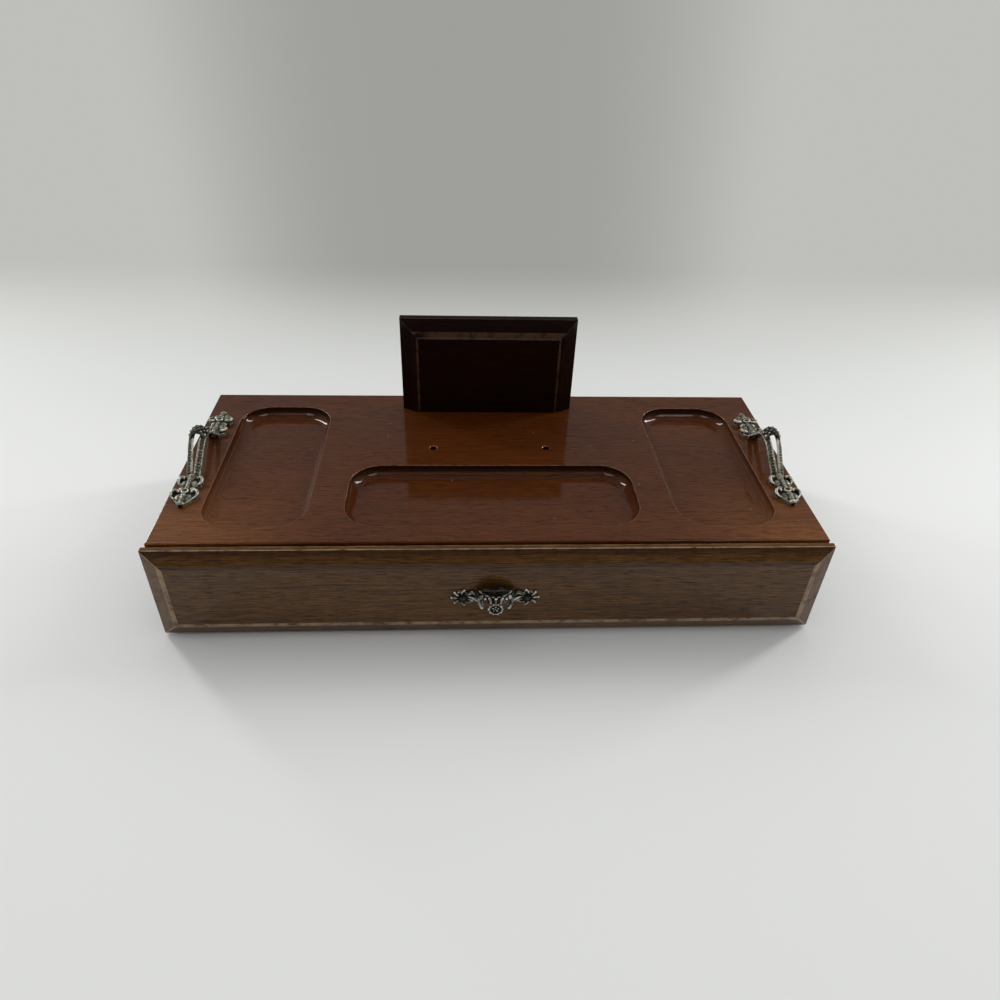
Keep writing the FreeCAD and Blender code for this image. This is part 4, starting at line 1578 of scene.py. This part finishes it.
    def _world(self) -> None:
        """Even light, most of it from behind; gloss sees a room that is darker up high and in front."""
        world = bpy.data.worlds.new("room")
        bpy.context.scene.world = world
        recipe = Recipe(world)
        way = recipe.node("ShaderNodeTexCoord").outputs["Generated"]
        way = recipe.node("ShaderNodeSeparateXYZ", {}, {0: way}).outputs
        side, behind, height = (Signal(recipe, way[axis]) for axis in "XYZ")
        room = recipe.ramp(height, self.room)
        mirrored = recipe.blend(behind.between(*self.mirrored_step), self.dark_room, room)
        # Painted highlight source: glossy rays alone see a bright window band in front, strongest to the
        # sides.
        window = height.between(*self.window_foot) * (1 - height.between(*self.window_head))
        window = window * (0.0 - behind).between(*self.window_ahead)
        aside = (side * side).between(*self.window_aside)
        window = window * (self.window_middle + (1 - self.window_middle) * aside)
        mirrored = recipe.blend(window, mirrored, self.window)
        light = recipe.blend(height, (self.low_light,) * 3, (self.high_light,) * 3)
        front = 1 - behind.between(*self.front_step)
        light = recipe.blend(front, light, (self.front_share,) * 3, "MULTIPLY")
        rays = recipe.node("ShaderNodeLightPath").outputs
        gloss = Signal(recipe, rays["Is Glossy Ray"]) + Signal(recipe, rays["Is Transmission Ray"])
        seen = recipe.blend(Signal(recipe, rays["Is Camera Ray"]), light, self.wall)
        seen = recipe.blend(gloss, seen, mirrored)
        glow = recipe.node("ShaderNodeBackground", {}, {"Color": seen, "Strength": 1.0}).outputs[0]
        recipe.node("ShaderNodeOutputWorld", {}, {"Surface": glow})

    def _lamp(self, azimuth: float) -> None:
        """One tall strip lamp that stands behind the box, to one side.

        Args:
            azimuth: Its bearing from straight behind, in degrees towards +X.
        """
        turn = math.radians(azimuth)
        place = Vector((math.sin(turn), math.cos(turn), 0)) * self.lamp_distance
        place.z = self.lamp_middle
        data = bpy.data.lights.new("strip_lamp", "AREA")
        data.shape = "RECTANGLE"
        data.size = self.lamp_width
        data.size_y = self.lamp_height
        data.energy = self.lamp_power
        lamp = link(bpy.data.objects.new("strip_lamp", data))
        lamp.matrix_world = Matrix.Translation(place) @ place.to_track_quat("Z", "Y").to_matrix().to_4x4()


@dataclass
class ValetBox:
    """The whole box: its boards, castings, fasteners and felt, each with its finish."""

    top_wood: WoodFinish = WoodFinish(
        "top_wood",
        deep=(0.038, 0.0085, 0.0006),
        middle=(0.066, 0.0155, 0.0012),
        light=(0.096, 0.0260, 0.0028),
        worn=(0.19, 0.090, 0.048),
        figure=0.45,
        streaks=0.75,
        fibres=0.95,
        dust=0.06,
        corner_light=1.15,
    )
    front_wood: WoodFinish = WoodFinish(
        "front_wood",
        deep=(0.030, 0.0105, 0.0018),
        middle=(0.092, 0.0370, 0.0070),
        light=(0.158, 0.0750, 0.0180),
        worn=(0.36, 0.250, 0.160),
        figure=0.45,
        streaks=0.7,
        fibres=1.15,
        pores=0.6,
        painted_shade_share=0.6,
        pull_shadow_at=(0.0, -79.0, 34.2),
        coat=0.62,
        coat_roughness=0.13,
        shift=0.37,
    )
    # The upright's stain is much darker than the top's, whose slot it shares: painted shade, as its face is
    # turned from the light.
    shaded_upright_wood: WoodFinish = WoodFinish(
        "shaded_upright_wood",
        deep=(0.0042, 0.0006, 0.0001),
        middle=(0.0080, 0.0013, 0.0003),
        light=(0.015, 0.0032, 0.0008),
        worn=(0.16, 0.080, 0.046),
        coat=0.4,
        shift=0.71,
    )
    case_wood: WoodFinish = WoodFinish(
        "case_wood",
        deep=(0.030, 0.0090, 0.0020),
        middle=(0.060, 0.0190, 0.0040),
        light=(0.100, 0.0350, 0.0080),
        worn=(0.24, 0.12, 0.06),
        grain=Grain.DEPTH,
        coat_roughness=0.14,
        shift=0.13,
    )
    back_wood: WoodFinish = WoodFinish(
        "back_wood",
        deep=(0.030, 0.0095, 0.0022),
        middle=(0.058, 0.0195, 0.0045),
        light=(0.095, 0.0350, 0.0090),
        worn=(0.22, 0.12, 0.06),
        coat_roughness=0.18,
        shift=0.53,
    )
    drawer_side_wood: WoodFinish = WoodFinish(
        "drawer_side_wood",
        deep=(0.30, 0.17, 0.085),
        middle=(0.44, 0.28, 0.155),
        light=(0.55, 0.38, 0.23),
        worn=(0.50, 0.34, 0.21),
        grain=Grain.DEPTH,
        coat=0.0,
        roughness=0.68,
    )
    drawer_end_wood: WoodFinish = WoodFinish(
        "drawer_end_wood",
        deep=(0.30, 0.17, 0.085),
        middle=(0.43, 0.27, 0.15),
        light=(0.54, 0.37, 0.22),
        worn=(0.50, 0.34, 0.21),
        coat=0.0,
        roughness=0.68,
        shift=0.29,
    )
    plywood: WoodFinish = WoodFinish(
        "plywood",
        deep=(0.38, 0.25, 0.14),
        middle=(0.48, 0.335, 0.20),
        light=(0.58, 0.43, 0.28),
        worn=(0.55, 0.40, 0.26),
        figure=1.4,
        streaks=0.7,
        coat=0.0,
        roughness=0.7,
        shift=0.83,
    )
    dowel_wood: WoodFinish = WoodFinish(
        "dowel_wood",
        deep=(0.42, 0.29, 0.17),
        middle=(0.55, 0.40, 0.25),
        light=(0.64, 0.49, 0.33),
        worn=(0.6, 0.45, 0.3),
        grain=Grain.UP,
        coat=0.0,
        roughness=0.65,
    )
    casting_metal: MetalFinish = MetalFinish(
        "casting_metal",
        dark=(0.022, 0.021, 0.015),
        middle=(0.20, 0.19, 0.135),
        bright=(0.88, 0.84, 0.74),
        rubbed_metallic=0.3,
        mottled=1.0,
    )
    # The pull's metal: its rubbed parts near white and mostly not metallic, partly rub and partly painted
    # highlight of light from the front.
    rubbed_and_lit_metal: MetalFinish = MetalFinish(
        "rubbed_and_lit_metal",
        dark=(0.016, 0.015, 0.012),
        middle=(0.15, 0.14, 0.11),
        bright=(0.97, 0.94, 0.86),
        starts=0.34,
        ends=0.76,
        polished=0.2,
        metallic=0.9,
        rubbed_metallic=0.25,
        mottled=0.6,
    )
    pin_metal: MetalFinish = MetalFinish(
        "pin_metal",
        dark=(0.015, 0.014, 0.011),
        middle=(0.05, 0.045, 0.035),
        bright=(0.20, 0.18, 0.15),
        carries_rub=False,
    )
    steel: MetalFinish = MetalFinish(
        "plain_steel",
        dark=(0.30, 0.30, 0.29),
        middle=(0.45, 0.45, 0.44),
        bright=(0.62, 0.62, 0.61),
        metallic=0.9,
        rubbed_metallic=0.9,
        dull=0.45,
        polished=0.28,
        carries_rub=False,
    )
    felt: FeltFinish = FeltFinish("dark_felt", body=(0.040, 0.024, 0.017), fleck=(0.085, 0.058, 0.042))

    def build(self) -> None:
        """Builds every piece in order."""
        self._boards()
        Handle().build(self.casting_metal.material())
        Pull().build(self.rubbed_and_lit_metal.material())
        self._felt()
        self._fasteners()

    def _boards(self) -> None:
        """The boards of the case and of the drawer."""
        woods = (self.top_wood, self.shaded_upright_wood, self.front_wood, self.case_wood, self.back_wood)
        top, upright, front, case, back = (wood.material() for wood in woods)
        woods = (self.drawer_side_wood, self.drawer_end_wood, self.plywood)
        sides, ends, plywood = (wood.material() for wood in woods)
        boards = [
            Board("top_board", "case", "stained_top", top, ease=0.35, hollow=6.0, rim=0.5),
            # The upright's rounded shoulder is painted lighter on top, where light from above falls, a tenth
            # as much on its sides.
            Board("upright_panel", "case", "stained_top", upright, shoulder=2.2, shoulder_sides=0.1),
            Board("left_side", "case", "stained_case", case),
            Board("right_side", "case", "stained_case", case),
            Board("back_panel", "case", "stained_case", back),
            Board("base_board", "case", "stained_case", back),
            # Drawer front: a light line on the sides of its shoulder, partly wear and partly painted
            # highlight; painted light on its side bevels; painted shade near its top edge and on top of its
            # shoulder.
            Board(
                "drawer_front",
                "drawer",
                "stained_front",
                front,
                shoulder=1.2,
                shoulder_wear_and_highlight=1.0,
                flank_highlight=0.25,
            ),
            Board("drawer_inner_front", "drawer", "drawer_wood", ends),
            Board("drawer_left_side", "drawer", "drawer_wood", sides),
            Board("drawer_right_side", "drawer", "drawer_wood", sides),
            Board("drawer_back", "drawer", "drawer_wood", ends),
            Board("drawer_bottom", "drawer", "drawer_plywood", plywood, ease=0.2),
        ]
        for board in boards:
            board.build()

    def _felt(self) -> None:
        """The felt under the base and in the drawer."""
        felt = self.felt.material()
        FeltSheet("base_felt", "case", rests_on="base_board", thickness=1.5, unevenness=0.0).build(felt)
        FeltSheet("drawer_lining", "drawer", rests_on="drawer_bottom", thickness=0.8).build(felt)

    def _fasteners(self) -> None:
        """Gives the fasteners, whose shapes are right as they are, their finishes."""
        groups = [
            (self.pin_metal, ("left_handle_pins", "right_handle_pins", "pull_pins")),
            (self.steel, ("upright_screws", "front_screws", "base_brads", "drawer_brads")),
            (self.dowel_wood, ("case_dowels",)),
        ]
        for finish, nodes in groups:
            material = finish.material()
            for node in nodes:
                for slot in bpy.data.objects[node].material_slots:
                    slot.material = material
                log.info("%s: given its finish", node)


def main() -> None:
    """Builds the studio and the box."""
    Studio().build()
    ValetBox().build()


if __name__ == "__main__":
    main()
